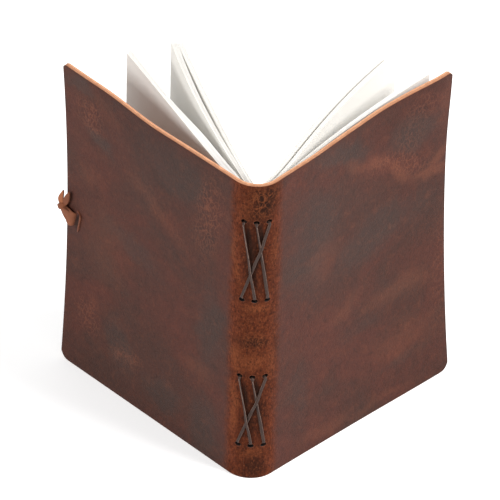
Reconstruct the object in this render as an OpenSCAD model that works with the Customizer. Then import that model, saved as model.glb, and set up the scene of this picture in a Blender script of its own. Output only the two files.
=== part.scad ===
// Hand-sewn leather journal, standing open on its bottom edge.
// The spine faces -Y and the covers open towards +Y. Z is up.
// The origin is in the middle of the leather at the bottom of the spine.

/* [Cover] */
// Height of the leather, from tail to head
cover_h = 178; // [150:1:220]
// Width of each cover beyond its hinge line
cover_w = 119.5; // [100:0.5:150]
// Thickness of the leather
leather_t = 2.5; // [1.8:0.1:3]
// Angle between each cover and the middle plane as it stands
cover_angle = 43.5; // [36:0.5:52]
// Radius of the spine curve, at the middle of the leather
spine_r = 12.5; // [11.5:0.25:16]
// Radius of the bottom corners at the fore-edge
corner_tail_r = 5; // [2:0.5:12]
// Radius of the top corners at the fore-edge
corner_head_r = 3; // [2:0.5:12]
// How far the middle of each fore-edge bows in towards the pages
fore_edge_bow = 3.6; // [0:0.1:5]
// Gap round the rolled edge of each cover where it turns in the spine
hinge_gap = 0.3; // [0.2:0.05:0.5]

/* [Pages] */
// Height of the pages
page_h = 168; // [120:1:170]
// Gap between the bottom of the pages and the bottom of the leather
page_rise = 5; // [3:0.5:8]
// Width of a page from its fold to its fore-edge
page_w = 119; // [80:0.5:119]
// Thickness of half a signature at its fold
leaf_stack_fold = 1.65; // [1:0.05:1.7]
// Thickness of half a signature at its fore-edge
leaf_stack_edge = 2.1; // [1.7:0.05:2.2]
// How far the inner leaves stand out beyond the outer ones
leaf_creep = 1; // [0:0.1:2]
// Gap between a fold and the inside of the spine
fold_gap = 0.15; // [0.1:0.05:0.3]

/* [Stitching] */
// Spacing of the three columns of holes, on the outside of the spine
column_pitch = 6; // [5.5:0.1:6.5]
// Drop from the head of the leather to the top holes of the upper stitch
upper_head_drop = 22; // [18:1:35]
// Drop from the head of the leather to the bottom holes of the upper stitch
upper_tail_drop = 69.5; // [60:0.5:85]
// Height of the top holes of the lower stitch
lower_head_z = 62; // [50:1:80]
// Height of the bottom holes of the lower stitch
lower_tail_z = 20; // [12:1:30]
// Diameter of the waxed thread
thread_d = 1.4; // [0.8:0.1:1.4]
// Gap between the thread and what it passes through or lies on
thread_gap = 0.2; // [0.1:0.05:0.3]

/* [Strap] */
// Width of the strap where it passes through the cover
strap_w = 9; // [6:0.5:12]
// Thickness of the strap
strap_t = 1.5; // [1:0.1:2]
// Distance from the fore-edge to the middle of the slit
slit_inset = 7; // [6:0.5:12]
// How far the middle of the slit lies below half height
slit_drop = 4; // [0:0.5:10]
// Lean of the slit, with its top towards the spine
slit_tilt = 15; // [0:1:20]
// Gap between the strap and the slit
slit_gap = 0.3; // [0.2:0.05:0.5]
// How far the knot stands beyond the fore-edge
knot_reach = 2.5; // [2.5:0.25:4]
// Height of the knot above the middle of the strap
knot_rise = 2.5; // [1:0.25:3]
// Length of the tip that stands over the cover
long_tip_l = 10; // [5:0.5:14]
// Length of the tip that stands clear of the cover
short_tip_l = 7; // [3:0.5:10]

/* [Hidden] */

leather_color = "#5a3325";
raw_edge_color = "#b4653a";
paper_color = "#f4f1ea";
thread_color = "#6b5a52";

// Spine curve: it turns through this angle on each side of the middle plane
spine_half_angle = 90 - cover_angle;
spine_out_r = spine_r + leather_t / 2;
spine_in_r = spine_r - leather_t / 2;
hinge_x = spine_r * sin(spine_half_angle);
hinge_y = spine_r * (1 - cos(spine_half_angle));
hinge_seat_r = leather_t / 2 + hinge_gap;

// Cover sheet: number of grid steps across, round each corner, up, and round the rolled edge
across_steps = 9;
corner_steps = 4;
up_steps = 16;
roll_steps = 8;
bow_power = 1.8;

// Sewing
column_angle = asin(column_pitch / spine_out_r);
column_angles = [-column_angle, 0, column_angle];
thread_r = thread_d / 2;
hole_r = thread_r + thread_gap;
thread_out_r = spine_out_r + thread_r + thread_gap / 2;
fold_r = spine_in_r - fold_gap - leaf_stack_fold;
bend_r = thread_r + thread_gap / 2;
cross_lift = thread_d + thread_gap / 2;
cross_run = 0.2;
bend_steps = 3;
run_steps = 14;
thread_sides = 8;
fold_arc_steps = 10;
page_steps = 24;

// Each half signature leans as a share of the cover angle: near its fold, further out, how
// much it curls by its fore-edge, and how much it swings across just past the fold.
outer_left = [-0.95, -0.655, 0, 0];
inner_left = [-0.97, -0.403, 0, 0];
middle_left = [-0.45, -0.442, 0.03, 0];
middle_right = [0.36, 0.51, 0.3, 0.2];
inner_right = [1.1, 0.51, 0.3, 0];
outer_right = [1, 0.84, 0.11, 0];
settle_run = 9;
swing_run = 7;
curl_power = 1.2;

// Point at a radius and an angle about the axis of the spine curve
function spine_point(r, angle, z) = [r * sin(angle), spine_r - r * cos(angle), z];

// Direction of a heading measured from +Y towards +X
function heading_dir(a) = [sin(a), cos(a)];

// Heading of a half signature at a distance from its fold
function leaf_heading(lean, s) =
    cover_angle * (lean[1]
        + (lean[0] - lean[1]) * exp(-s / settle_run)
        + lean[2] * pow(s / page_w, curl_power)
        + lean[3] * (s / swing_run) * exp(1 - s / swing_run));

// Points along the inner face of a half signature, one after another from the fold
function leaf_path(fold, lean, steps = page_steps) =
    let (step = page_w / steps)
    [for (i = 0, p = fold; i <= steps;
        p = p + step * heading_dir(leaf_heading(lean, (i + 0.5) * step)), i = i + 1) p];

// Points along the outer face, on the left (-1) or the right (1) of the inner one
function outer_path(path, lean, side, steps = page_steps) =
    [for (i = [0 : steps])
        let (s = page_w * i / steps)
        let (a = leaf_heading(lean, s))
        let (t = leaf_stack_fold + (leaf_stack_edge - leaf_stack_fold) * i / steps)
        let (back = i == steps ? leaf_creep : 0)
        path[i] + side * t * [cos(a), -sin(a)] - back * heading_dir(a)];

// Outline of one signature in plan: both halves and the round back of its fold
function signature_outline(fold, left, right) =
    let (left_in = leaf_path(fold, left))
    let (right_in = leaf_path(fold, right))
    let (left_out = outer_path(left_in, left, -1))
    let (right_out = outer_path(right_in, right, 1))
    let (from = leaf_heading(right, 0) + 90)
    let (to = leaf_heading(left, 0) + 270)
    concat(
        [for (i = [page_steps : -1 : 1]) left_in[i]],
        [fold],
        [for (i = [1 : page_steps]) right_in[i]],
        [for (i = [page_steps : -1 : 1]) right_out[i]],
        [for (i = [0 : fold_arc_steps])
            fold + leaf_stack_fold * heading_dir(from + (to - from) * i / fold_arc_steps)],
        [for (i = [1 : page_steps]) left_out[i]]
    );

// Cover sheet: columns across, crowded together round the corners
corner_max_r = max(corner_tail_r, corner_head_r);
across = concat(
    [for (i = [0 : across_steps - 1]) (cover_w - corner_max_r) * i / across_steps],
    [for (i = [0 : corner_steps])
        cover_w - corner_max_r * (1 - sin(90 * i / corner_steps))]
);

// How far a corner of radius r cuts into the height at distance u
function corner_cut(u, r) =
    u <= cover_w - r ? 0 : r - sqrt(max(0, r * r - pow(u - cover_w + r, 2)));
function tail_z(u) = corner_cut(u, corner_tail_r);
function head_z(u) = cover_h - corner_cut(u, corner_head_r);

// How far the sheet bows in at distance u and height z
function bow(u, z) =
    fore_edge_bow * pow(max(0, u) / cover_w, bow_power) * (1 - pow(2 * z / cover_h - 1, 2));

// A point of the sheet at distance u, on the face offset v, at level j
function sheet_point(u, v, j) =
    let (z = tail_z(u) + (head_z(u) - tail_z(u)) * j / up_steps)
    [u, bow(u, z) + v, z];

// One level of the sheet: out along the outer face, back along the inner, round the roll
function sheet_ring(j) = concat(
    [for (u = across) sheet_point(u, -leather_t / 2, j)],
    [for (i = [len(across) - 1 : -1 : 0]) sheet_point(across[i], leather_t / 2, j)],
    [for (k = [1 : roll_steps - 1])
        let (a = 90 + 180 * k / roll_steps)
        [leather_t / 2 * cos(a), leather_t / 2 * sin(a), cover_h * j / up_steps]]
);

// One cover lying along +X from its hinge line at the origin, its inner face towards +Y
module cover_sheet() {
    n = len(across);
    ring = 2 * n + roll_steps - 1;
    points = [for (j = [0 : up_steps]) each sheet_ring(j)];
    top = up_steps * ring;
    sides = [for (j = [0 : up_steps - 1]) each [for (i = [0 : ring - 1])
        let (a = j * ring + i)
        let (b = j * ring + (i + 1) % ring)
        each [[a, a + ring, b], [b, a + ring, b + ring]]]];
    ends = [for (i = [0 : n - 2])
        let (o = 2 * n - 1 - i)
        each [
            [i, i + 1, o], [i + 1, o - 1, o],
            [top + i, top + o, top + i + 1], [top + i + 1, top + o, top + o - 1]
        ]];
    roll = concat([for (k = [0 : roll_steps - 2]) 2 * n + k], [0, 2 * n - 1]);
    polyhedron(points, concat(sides, ends, [
        roll,
        [for (k = [len(roll) - 1 : -1 : 0]) top + roll[k]]
    ]));
}

// Places a right-hand cover's own frame on its hinge line; side -1 mirrors it to the left
module on_cover(side) {
    mirror([side < 0 ? 1 : 0, 0, 0])
        translate([hinge_x, hinge_y, 0])
            rotate([0, 0, 90 - cover_angle])
                children();
}

slit_u = cover_w - slit_inset;
slit_z = cover_h / 2 - slit_drop;
slit_bow = bow(slit_u, slit_z);
edge_bow = bow(cover_w, slit_z);
slit_reach = leather_t * 3;

// Places the strap's own frame at the middle of the slit: the band runs along its +X
module at_slit() {
    translate([slit_u, 0, slit_z])
        rotate([0, -slit_tilt, 0])
            children();
}

// The cut in the back cover that the strap passes through
module slit() {
    at_slit()
        translate([0, slit_bow, 0])
            cube([strap_t + 2 * slit_gap, slit_reach, strap_w + 2 * slit_gap], center = true);
}

module front_cover() {
    color(leather_color)
        on_cover(1) cover_sheet();
}

module back_cover() {
    color(leather_color)
        on_cover(-1)
            difference() {
                cover_sheet();
                slit();
            }
}

// A round hole along the radius of the spine curve
module radial_hole(angle, z, r, from_r, to_r) {
    p = spine_point(from_r, angle, z);
    translate(p)
        rotate([90, 0, angle])
            cylinder(h = to_r - from_r, r = r, $fn = 32);
}

stitches = [
    [lower_tail_z, lower_head_z],
    [cover_h - upper_tail_drop, cover_h - upper_head_drop]
];

module spine() {
    reach = 2 * spine_out_r;
    color(leather_color)
        difference() {
            linear_extrude(cover_h)
                difference() {
                    translate([0, spine_r]) circle(r = spine_out_r, $fn = 128);
                    translate([0, spine_r]) circle(r = spine_in_r, $fn = 128);
                    polygon([
                        [0, spine_r],
                        [reach * sin(spine_half_angle), spine_r - reach * cos(spine_half_angle)],
                        [reach * 2, spine_r + reach],
                        [-reach * 2, spine_r + reach],
                        [-reach * sin(spine_half_angle), spine_r - reach * cos(spine_half_angle)]
                    ]);
                    for (side = [-1, 1])
                        translate([side * hinge_x, hinge_y]) circle(r = hinge_seat_r, $fn = 48);
                }
            for (stitch = stitches)
                for (z = stitch)
                    for (angle = column_angles)
                        radial_hole(angle, z, hole_r, spine_in_r - 1, spine_out_r + 1);
        }
}

// A folded stack of leaves, pierced at its fold and channelled there for the thread
module signature(column, left, right) {
    angle = column_angles[column];
    fold = spine_point(fold_r, angle, 0);
    color(paper_color)
        difference() {
            translate([0, 0, page_rise])
                linear_extrude(page_h)
                    polygon(signature_outline([fold[0], fold[1]], left, right));
            for (stitch = stitches) {
                for (z = stitch)
                    radial_hole(angle, z, hole_r, fold_r, fold_r + leaf_stack_fold + 1);
                translate([fold[0], fold[1], stitch[0] - hole_r])
                    cylinder(h = stitch[1] - stitch[0] + 2 * hole_r, r = hole_r, $fn = 32);
            }
        }
}

module left_signature() { signature(0, outer_left, inner_left); }
module middle_signature() { signature(1, middle_left, middle_right); }
module right_signature() { signature(2, inner_right, outer_right); }

// Smooth hump, 1 at its middle and 0 beyond its run
function hump(x) = abs(x) >= 1 ? 0 : pow(cos(90 * x), 2);

// Thread on the outside, from a hole at the head down to a hole at the tail.
// over is the share of the way down at which it crosses over another thread, or 0.
function outside_run(a0, a1, z0, z1, over) =
    [for (i = [0 : run_steps])
        let (f = i / run_steps)
        let (z = z0 - bend_r - (z0 - z1 - 2 * bend_r) * f)
        let (lift = over > 0 ? cross_lift * hump((f - over) / cross_run) : 0)
        [thread_out_r + lift, a0 + (a1 - a0) * f, z]];

// Quarter turns between the outside, the hole and the fold; up is 1 at a head hole
function into_hole(angle, z, up) =
    [for (i = [1 : bend_steps])
        let (q = 90 * i / bend_steps)
        [thread_out_r - bend_r * (1 - cos(q)), angle, z - up * bend_r * (1 - sin(q))]];
function out_of_hole(angle, z, up) =
    [for (i = [bend_steps : -1 : 1])
        let (q = 90 * i / bend_steps)
        [thread_out_r - bend_r * (1 - cos(q)), angle, z - up * bend_r * (1 - sin(q))]];
function into_fold(angle, z, up) =
    [for (i = [0 : bend_steps])
        let (q = 90 * i / bend_steps)
        [fold_r + bend_r * (1 - sin(q)), angle, z - up * bend_r * (1 - cos(q))]];
function out_of_fold(angle, z, up) =
    [for (i = [bend_steps : -1 : 0])
        let (q = 90 * i / bend_steps)
        [fold_r + bend_r * (1 - sin(q)), angle, z - up * bend_r * (1 - cos(q))]];

// One leg of the stitch: down the outside, in through the tail hole of column b, up the
// fold inside and out again through its head hole.
function stitch_leg(a, b, head, tail, over) = concat(
    outside_run(column_angles[a], column_angles[b], head, tail, over),
    into_hole(column_angles[b], tail, -1),
    into_fold(column_angles[b], tail, -1),
    out_of_fold(column_angles[b], head, 1),
    out_of_hole(column_angles[b], head, 1)
);

// The whole closed loop, as [radius, angle, height]: left to middle, middle to right and
// right to left. The long diagonal crosses over the second leg and under the first.
function stitch_loop(head, tail) = concat(
    stitch_leg(0, 1, head, tail, 2 / 3),
    stitch_leg(1, 2, head, tail, 0),
    stitch_leg(2, 0, head, tail, 1 / 3)
);

function unit(v) = v / norm(v);

// Ring of points round the thread at step i of its loop
function thread_ring(loop, i) =
    let (n = len(loop))
    let (p = spine_point(loop[i][0], loop[i][1], loop[i][2]))
    let (q = loop[(i + 1) % n])
    let (o = loop[(i + n - 1) % n])
    let (ahead = unit(spine_point(q[0], q[1], q[2]) - spine_point(o[0], o[1], o[2])))
    let (flat = [cos(loop[i][1]), sin(loop[i][1]), 0])
    let (side = unit(flat - (flat * ahead) * ahead))
    let (up = cross(ahead, side))
    [for (k = [0 : thread_sides - 1])
        let (a = 360 * k / thread_sides)
        p + thread_r * (cos(a) * side + sin(a) * up)];

module thread_loop(stitch) {
    loop = stitch_loop(stitch[1], stitch[0]);
    n = len(loop);
    m = thread_sides;
    color(thread_color)
        polyhedron(
            [for (i = [0 : n - 1]) each thread_ring(loop, i)],
            [for (i = [0 : n - 1]) each [for (k = [0 : m - 1])
                let (a = i * m + k)
                let (b = i * m + (k + 1) % m)
                let (c = ((i + 1) % n) * m + k)
                let (d = ((i + 1) % n) * m + (k + 1) % m)
                each [[a, b, c], [b, d, c]]]]
        );
}

module upper_thread() { thread_loop(stitches[1]); }
module lower_thread() { thread_loop(stitches[0]); }

// Strap, in its own frame at the slit
strap_clear = 0.2;
edge_x = (slit_inset + strap_w / 2 * sin(slit_tilt)) / cos(slit_tilt) + strap_clear;
knot_x = edge_x + knot_reach;
knot_y = slit_bow - 2.4;
knot_r = 2.2;
knot_waist_r = 1.6;
knot_l = 3.6;
knot_turn = -20;
band_neck = 1.8;
band_shoulder = 2.5;

// The two tips: how far each turns about the knot, and their outline as shares of the
// width and length
long_tip_turn = -14;
short_tip_turn = 17;
tip_w = 3.8;
tip_shape = [[-0.3, 0], [0.3, 0], [0.5, 0.5], [0.12, 1], [-0.2, 0.94], [-0.5, 0.45]];

// Plan of the band: out through the slit, round the fore-edge to the knot and back
module band_plan() {
    in_y = edge_bow + leather_t / 2 + strap_clear;
    out_y = slit_bow - leather_t / 2 - strap_clear;
    from_x = -strap_t / 2;
    difference() {
        polygon([
            [from_x, out_y - strap_t], [edge_x, out_y - strap_t],
            [knot_x, knot_y - strap_t], [knot_x, knot_y + strap_t],
            [edge_x, in_y + strap_t], [from_x, in_y + strap_t]
        ]);
        polygon([
            [from_x + strap_t, out_y], [edge_x, out_y],
            [edge_x + strap_clear, knot_y], [edge_x, in_y], [from_x + strap_t, in_y]
        ]);
    }
}

// Side view of the band: full width at the slit, drawn up to a neck at the knot
module band_side() {
    half_w = strap_w / 2;
    polygon([
        [-strap_t, -half_w],
        [edge_x - band_shoulder, -half_w],
        [edge_x, -half_w + band_shoulder / 2],
        [knot_x, knot_rise - band_neck],
        [knot_x, knot_rise + band_neck],
        [edge_x - band_shoulder, half_w],
        [-strap_t, half_w]
    ]);
}

// A flat pointed end of the strap, standing up from the knot
module tip(turn, l) {
    rotate([90, turn, 0])
        translate([0, 0, -strap_t / 2])
            linear_extrude(strap_t)
                polygon([for (p = tip_shape) [p[0] * tip_w, p[1] * l]]);
}

module knot() {
    rotate([0, knot_turn, 0]) {
        translate([0, 0, -knot_l / 2])
            cylinder(h = knot_l / 2, r1 = knot_waist_r, r2 = knot_r, $fn = 48);
        cylinder(h = knot_l / 2, r1 = knot_r, r2 = knot_waist_r, $fn = 48);
    }
}

module strap() {
    color(raw_edge_color)
        on_cover(-1)
            at_slit() {
                intersection() {
                    translate([0, 0, -strap_w])
                        linear_extrude(2 * strap_w) band_plan();
                    rotate([90, 0, 0])
                        linear_extrude(8 * strap_w, center = true) band_side();
                }
                translate([knot_x, knot_y, knot_rise]) {
                    knot();
                    tip(long_tip_turn, long_tip_l);
                    tip(short_tip_turn, short_tip_l);
                }
            }
}

front_cover();
spine();
back_cover();
left_signature();
middle_signature();
right_signature();
upper_thread();
lower_thread();
strap();
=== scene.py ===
"""Looks of a hand-sewn leather journal that stands open on its bottom edge.

Everything is in metres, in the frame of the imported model: the spine faces -Y, the covers open
towards +Y and Z is up. Leather is described by its place in the flat hide: how far across
from the middle of the spine, how deep from the middle of its thickness, and how high.
"""

import logging
import math
from dataclasses import dataclass, field
from enum import Enum
import bpy
import numpy as np
from mathutils import Matrix, Vector


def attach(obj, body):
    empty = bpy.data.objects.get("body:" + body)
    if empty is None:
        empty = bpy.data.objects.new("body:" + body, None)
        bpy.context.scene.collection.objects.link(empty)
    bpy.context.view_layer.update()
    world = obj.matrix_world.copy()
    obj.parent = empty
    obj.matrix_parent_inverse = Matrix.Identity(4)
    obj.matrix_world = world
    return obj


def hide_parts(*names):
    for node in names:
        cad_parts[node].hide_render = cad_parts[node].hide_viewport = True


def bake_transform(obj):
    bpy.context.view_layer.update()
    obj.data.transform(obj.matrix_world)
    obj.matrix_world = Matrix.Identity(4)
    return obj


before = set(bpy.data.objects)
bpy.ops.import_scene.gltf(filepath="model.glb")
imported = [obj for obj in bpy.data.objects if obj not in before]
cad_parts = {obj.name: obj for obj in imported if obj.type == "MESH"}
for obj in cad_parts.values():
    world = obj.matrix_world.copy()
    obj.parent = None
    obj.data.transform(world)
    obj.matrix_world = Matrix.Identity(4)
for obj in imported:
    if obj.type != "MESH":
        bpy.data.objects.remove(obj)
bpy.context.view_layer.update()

LOG = logging.getLogger("journal")
MM = 0.001
PLACE = "hide_place"
SEED = 7


class Side(Enum):
    """The two covers, by the side of the spine they are on."""

    BACK = -1
    FRONT = 1

    @property
    def body(self) -> str:
        """Name of the CAD body of this cover."""
        return "back_cover" if self is Side.BACK else "front_cover"


# Modelling bench


def clear_selection() -> None:
    """Leave edit mode and deselect everything."""
    active = bpy.context.view_layer.objects.active
    if active is not None and active.mode != "OBJECT":
        bpy.ops.object.mode_set(mode="OBJECT")
    bpy.ops.object.select_all(action="DESELECT")


def take(piece: bpy.types.Object) -> bpy.types.Object:
    """Make one piece the only selected and active object.

    Args:
        piece: The object to work on.

    Returns:
        The same object.
    """
    clear_selection()
    piece.select_set(True)
    bpy.context.view_layer.objects.active = piece
    return piece


def name_new(name: str) -> bpy.types.Object:
    """Name the object and mesh that an operator has just added.

    Args:
        name: New name of the object.

    Returns:
        The new object.
    """
    piece = bpy.context.view_layer.objects.active
    piece.name = name
    piece.data.name = name
    return piece


def points_of(piece: bpy.types.Object) -> np.ndarray:
    """Read the vertices of a piece as an array of points."""
    points = np.empty(len(piece.data.vertices) * 3)
    piece.data.vertices.foreach_get("co", points)
    return points.reshape(-1, 3)


def set_points(piece: bpy.types.Object, points: np.ndarray) -> None:
    """Write an array of points back to the vertices of a piece."""
    piece.data.vertices.foreach_set("co", points.astype(np.float32).ravel())
    piece.data.update()


def write_place(piece: bpy.types.Object, places: np.ndarray) -> None:
    """Keep the place in the hide, paper or thread that each vertex came from.

    Args:
        piece: The finished piece.
        places: One row of three numbers for each vertex.
    """
    old = piece.data.attributes.get(PLACE)
    if old is not None:
        piece.data.attributes.remove(old)
    kept = piece.data.attributes.new(PLACE, "FLOAT_VECTOR", "POINT")
    kept.data.foreach_set("vector", places.astype(np.float32).ravel())


def finish_modifiers(piece: bpy.types.Object) -> None:
    """Apply every modifier of a piece, in order."""
    take(piece)
    for modifier in list(piece.modifiers):
        bpy.ops.object.modifier_apply(modifier=modifier.name)


def join(pieces: list[bpy.types.Object], name: str) -> bpy.types.Object:
    """Join several meshes into one object.

    Args:
        pieces: The objects, of which the first is kept.
        name: Name of the joined object.

    Returns:
        The joined object.
    """
    take(pieces[0])
    for piece in pieces:
        piece.select_set(True)
    if len(pieces) > 1:
        bpy.ops.object.join()
    return name_new(name)


def give(piece: bpy.types.Object, finishes: list[bpy.types.Material], index: list[int]) -> None:
    """Give a piece its materials, and each face the number of its own.

    Args:
        piece: The mesh object.
        finishes: The materials, in slot order.
        index: Slot of each face, or one slot for every face.
    """
    for finish in finishes:
        piece.data.materials.append(finish)
    if len(index) == 1:
        index = index * len(piece.data.polygons)
    piece.data.polygons.foreach_set("material_index", index)


def recalculate(piece: bpy.types.Object) -> None:
    """Merge doubles of a closed mesh and point its faces outwards."""
    take(piece)
    bpy.ops.object.mode_set(mode="EDIT")
    bpy.ops.mesh.select_all(action="SELECT")
    bpy.ops.mesh.remove_doubles(threshold=0.002 * MM)
    bpy.ops.mesh.normals_make_consistent(inside=False)
    bpy.ops.object.mode_set(mode="OBJECT")


def smooth(piece: bpy.types.Object, angle_deg: float = 35) -> None:
    """Shade a piece smooth, apart from its edges sharper than an angle."""
    take(piece)
    bpy.ops.object.shade_smooth_by_angle(angle=math.radians(angle_deg))


def mesh_piece(name: str, points: np.ndarray, faces: list[tuple[int, ...]]) -> bpy.types.Object:
    """Make a mesh object from points and faces.

    Args:
        name: Name of the object.
        points: The vertices, one row each.
        faces: Vertex numbers of each face, anticlockwise from outside.

    Returns:
        The new object, linked to the scene.
    """
    mesh = bpy.data.meshes.new(name)
    mesh.from_pydata([tuple(p) for p in points], [], faces)
    mesh.update()
    piece = bpy.data.objects.new(name, mesh)
    bpy.context.scene.collection.objects.link(piece)
    return piece


def grid_faces(rows: int, columns: int, wrap_rows: bool, wrap_columns: bool) -> list[tuple]:
    """Number the quads of a grid of vertices.

    Args:
        rows: Number of rows of vertices.
        columns: Number of vertices in a row.
        wrap_rows: Whether the last row joins the first.
        wrap_columns: Whether the last column joins the first.

    Returns:
        The faces as vertex numbers.
    """
    faces = []
    for i in range(rows if wrap_rows else rows - 1):
        for j in range(columns if wrap_columns else columns - 1):
            a = i * columns + j
            b = i * columns + (j + 1) % columns
            c = ((i + 1) % rows) * columns + (j + 1) % columns
            d = ((i + 1) % rows) * columns + j
            faces.append((a, b, c, d))
    return faces


def ease(x: np.ndarray | float) -> np.ndarray | float:
    """Smooth step from 0 to 1."""
    t = np.clip(x, 0, 1)
    return t * t * (3 - 2 * t)


# Form of the whole journal


@dataclass(frozen=True)
class Hide:
    """The one sheet of leather: its flat size, and how it is folded round the pages."""

    height: float = 178 * MM
    cover_width: float = 119.5 * MM
    thickness: float = 2.5 * MM
    cover_angle: float = math.radians(43.5)
    spine_radius: float = 12.5 * MM
    tail_corner: float = 5 * MM
    head_corner: float = 3 * MM
    fore_edge_bow: float = 3.6 * MM
    bow_power: float = 1.8
    column_gap: float = 6 * MM
    rows: tuple[float, ...] = (20 * MM, 62 * MM, 108.5 * MM, 156 * MM)
    swells: tuple[tuple[float, float, float, float, float], ...] = (
        (37, 178, -0.7, 16, 60),
        (86, 178, 0.9, 17, 60),
        (124, 172, -1.3, 14, 26),
        (-98, 178, 0.6, 14, 50),
        (-66, 178, -0.6, 16, 50),
        (-50, 60, 0.35, 30, 34),
        (62, 70, -0.4, 32, 40),
    )

    @property
    def half_spine(self) -> float:
        """Length of leather from the middle of the spine to a hinge line."""
        return self.spine_radius * self.spine_turn

    @property
    def spine_turn(self) -> float:
        """Angle that the spine turns through on each side of its middle."""
        return math.pi / 2 - self.cover_angle

    @property
    def column_turn(self) -> float:
        """Angle between two columns of sewing holes, which are a gap apart in the photograph."""
        return math.asin(self.column_gap / (self.spine_radius + self.thickness / 2))

    def hinge(self, side: Side) -> Vector:
        """Place of a hinge line at the floor."""
        turn, r = self.spine_turn, self.spine_radius
        return Vector((side.value * r * math.sin(turn), r * (1 - math.cos(turn)), 0))

    def along(self, side: Side) -> Vector:
        """Direction of a cover, from its hinge line to its fore-edge."""
        return Vector((side.value * math.sin(self.cover_angle), math.cos(self.cover_angle), 0))

    def inward(self, side: Side) -> Vector:
        """Direction square to a cover, towards the pages."""
        return Vector((-side.value * math.cos(self.cover_angle), math.sin(self.cover_angle), 0))

    def lift(self, across: np.ndarray, height: np.ndarray) -> np.ndarray:
        """How far the leather stands in towards the pages from its plain form.

        Args:
            across: Places across the flat hide.
            height: Heights.

        Returns:
            The bow of the fore-edges and the slack swells of the hide.
        """
        u = np.maximum(0, np.abs(across) - self.half_spine)
        level = 2 * height / self.height - 1
        out = self.fore_edge_bow * (u / self.cover_width) ** self.bow_power * (1 - level**2)
        for s, z, rise, run_s, run_z in self.swells:
            reach = ((across / MM - s) / run_s) ** 2 + ((height / MM - z) / run_z) ** 2
            out = out + rise * MM * np.exp(-reach) * ease(u / (12 * MM))
        return out

    def corner_trim(self, u: float, radius: float) -> float:
        """Height that a round corner takes off at a distance from the hinge line."""
        into = u - (self.cover_width - radius)
        if into <= 0:
            return 0.0
        return radius - math.sqrt(max(0.0, radius**2 - into**2))

    def fold(self, places: np.ndarray) -> np.ndarray:
        """Fold places of the flat hide to where the leather stands.

        Args:
            places: Rows of across, depth and height. Depth is positive towards the pages.

        Returns:
            Rows of x, y and z.
        """
        across, depth, height = places.T
        turn = np.clip(across / self.spine_radius, -self.spine_turn, self.spine_turn)
        r = self.spine_radius - depth
        x = r * np.sin(turn)
        y = self.spine_radius - r * np.cos(turn)
        beyond = np.maximum(0, np.abs(across) - self.half_spine)
        x = x + np.sign(across) * beyond * math.sin(self.cover_angle)
        y = y + beyond * math.cos(self.cover_angle)
        return np.stack([x, y, height], -1)

    def unfold(self, points: np.ndarray) -> np.ndarray:
        """Find the place in the flat hide of points near the plain folded form."""
        x, y, z = points.T
        sign = np.where(x < 0, -1.0, 1.0)
        hinge, along, inward = (f(Side.FRONT) for f in (self.hinge, self.along, self.inward))
        rx, ry = np.abs(x) - hinge.x, y - hinge.y
        u = rx * along.x + ry * along.y
        depth = rx * inward.x + ry * inward.y
        turn = np.arctan2(np.abs(x), self.spine_radius - y)
        radius = np.hypot(x, self.spine_radius - y)
        on_spine = u < 0
        across = sign * np.where(on_spine, self.spine_radius * turn, self.half_spine + u)
        depth = np.where(on_spine, self.spine_radius - radius, depth)
        return np.stack([across, depth, z], -1)


@dataclass(frozen=True)
class Stance:
    """How the journal leans and twists a little as it stands: a cage of shifts in mm.

    Each row has the shifts at five places from left to right, at the floor and at the head.
    """

    knots: tuple[float, ...] = (-93, -46.5, 0, 46.5, 93)
    floor_x: tuple[float, ...] = (0.37, -0.05, -0.37, 0.44, 1.86)
    head_x: tuple[float, ...] = (-0.72, -0.70, 0.50, -0.76, -0.58)
    floor_y: tuple[float, ...] = (1.54, 1.51, 1.16, -0.34, -2.40)
    head_y: tuple[float, ...] = (0.51, -1.68, -1.51, 0.64, 0.57)
    height: float = 178 * MM

    def curve(self, shifts: tuple[float, ...], x: np.ndarray) -> np.ndarray:
        """Smooth curve through the five shifts."""
        step = self.knots[1] - self.knots[0]
        t = np.clip((x / MM - self.knots[0]) / step, 0, len(shifts) - 1 - 1e-9)
        i = t.astype(int)
        f = t - i
        v = np.array(shifts)
        a, b, c, d = (v[np.clip(i + k, 0, len(v) - 1)] for k in (-1, 0, 1, 2))
        bend = (2 * a - 5 * b + 4 * c - d) * f**2 + (-a + 3 * b - 3 * c + d) * f**3
        return 0.5 * MM * (2 * b + (c - a) * f + bend)

    def shift(self, points: np.ndarray) -> np.ndarray:
        """Move points from the plain form to the leaning one.

        Args:
            points: Rows of x, y and z.

        Returns:
            The moved rows.
        """
        share = np.clip(points[:, 2] / self.height, 0, 1)
        out = points.copy()
        for axis, low, high in ((0, self.floor_x, self.head_x), (1, self.floor_y, self.head_y)):
            at_floor = self.curve(low, points[:, 0])
            at_head = self.curve(high, points[:, 0])
            out[:, axis] += at_floor * (1 - share) + at_head * share
        return out

    def settle(self, piece: bpy.types.Object) -> None:
        """Lean a finished piece."""
        set_points(piece, self.shift(points_of(piece)))


HIDE = Hide()
STANCE = Stance()


# Shader building


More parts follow.
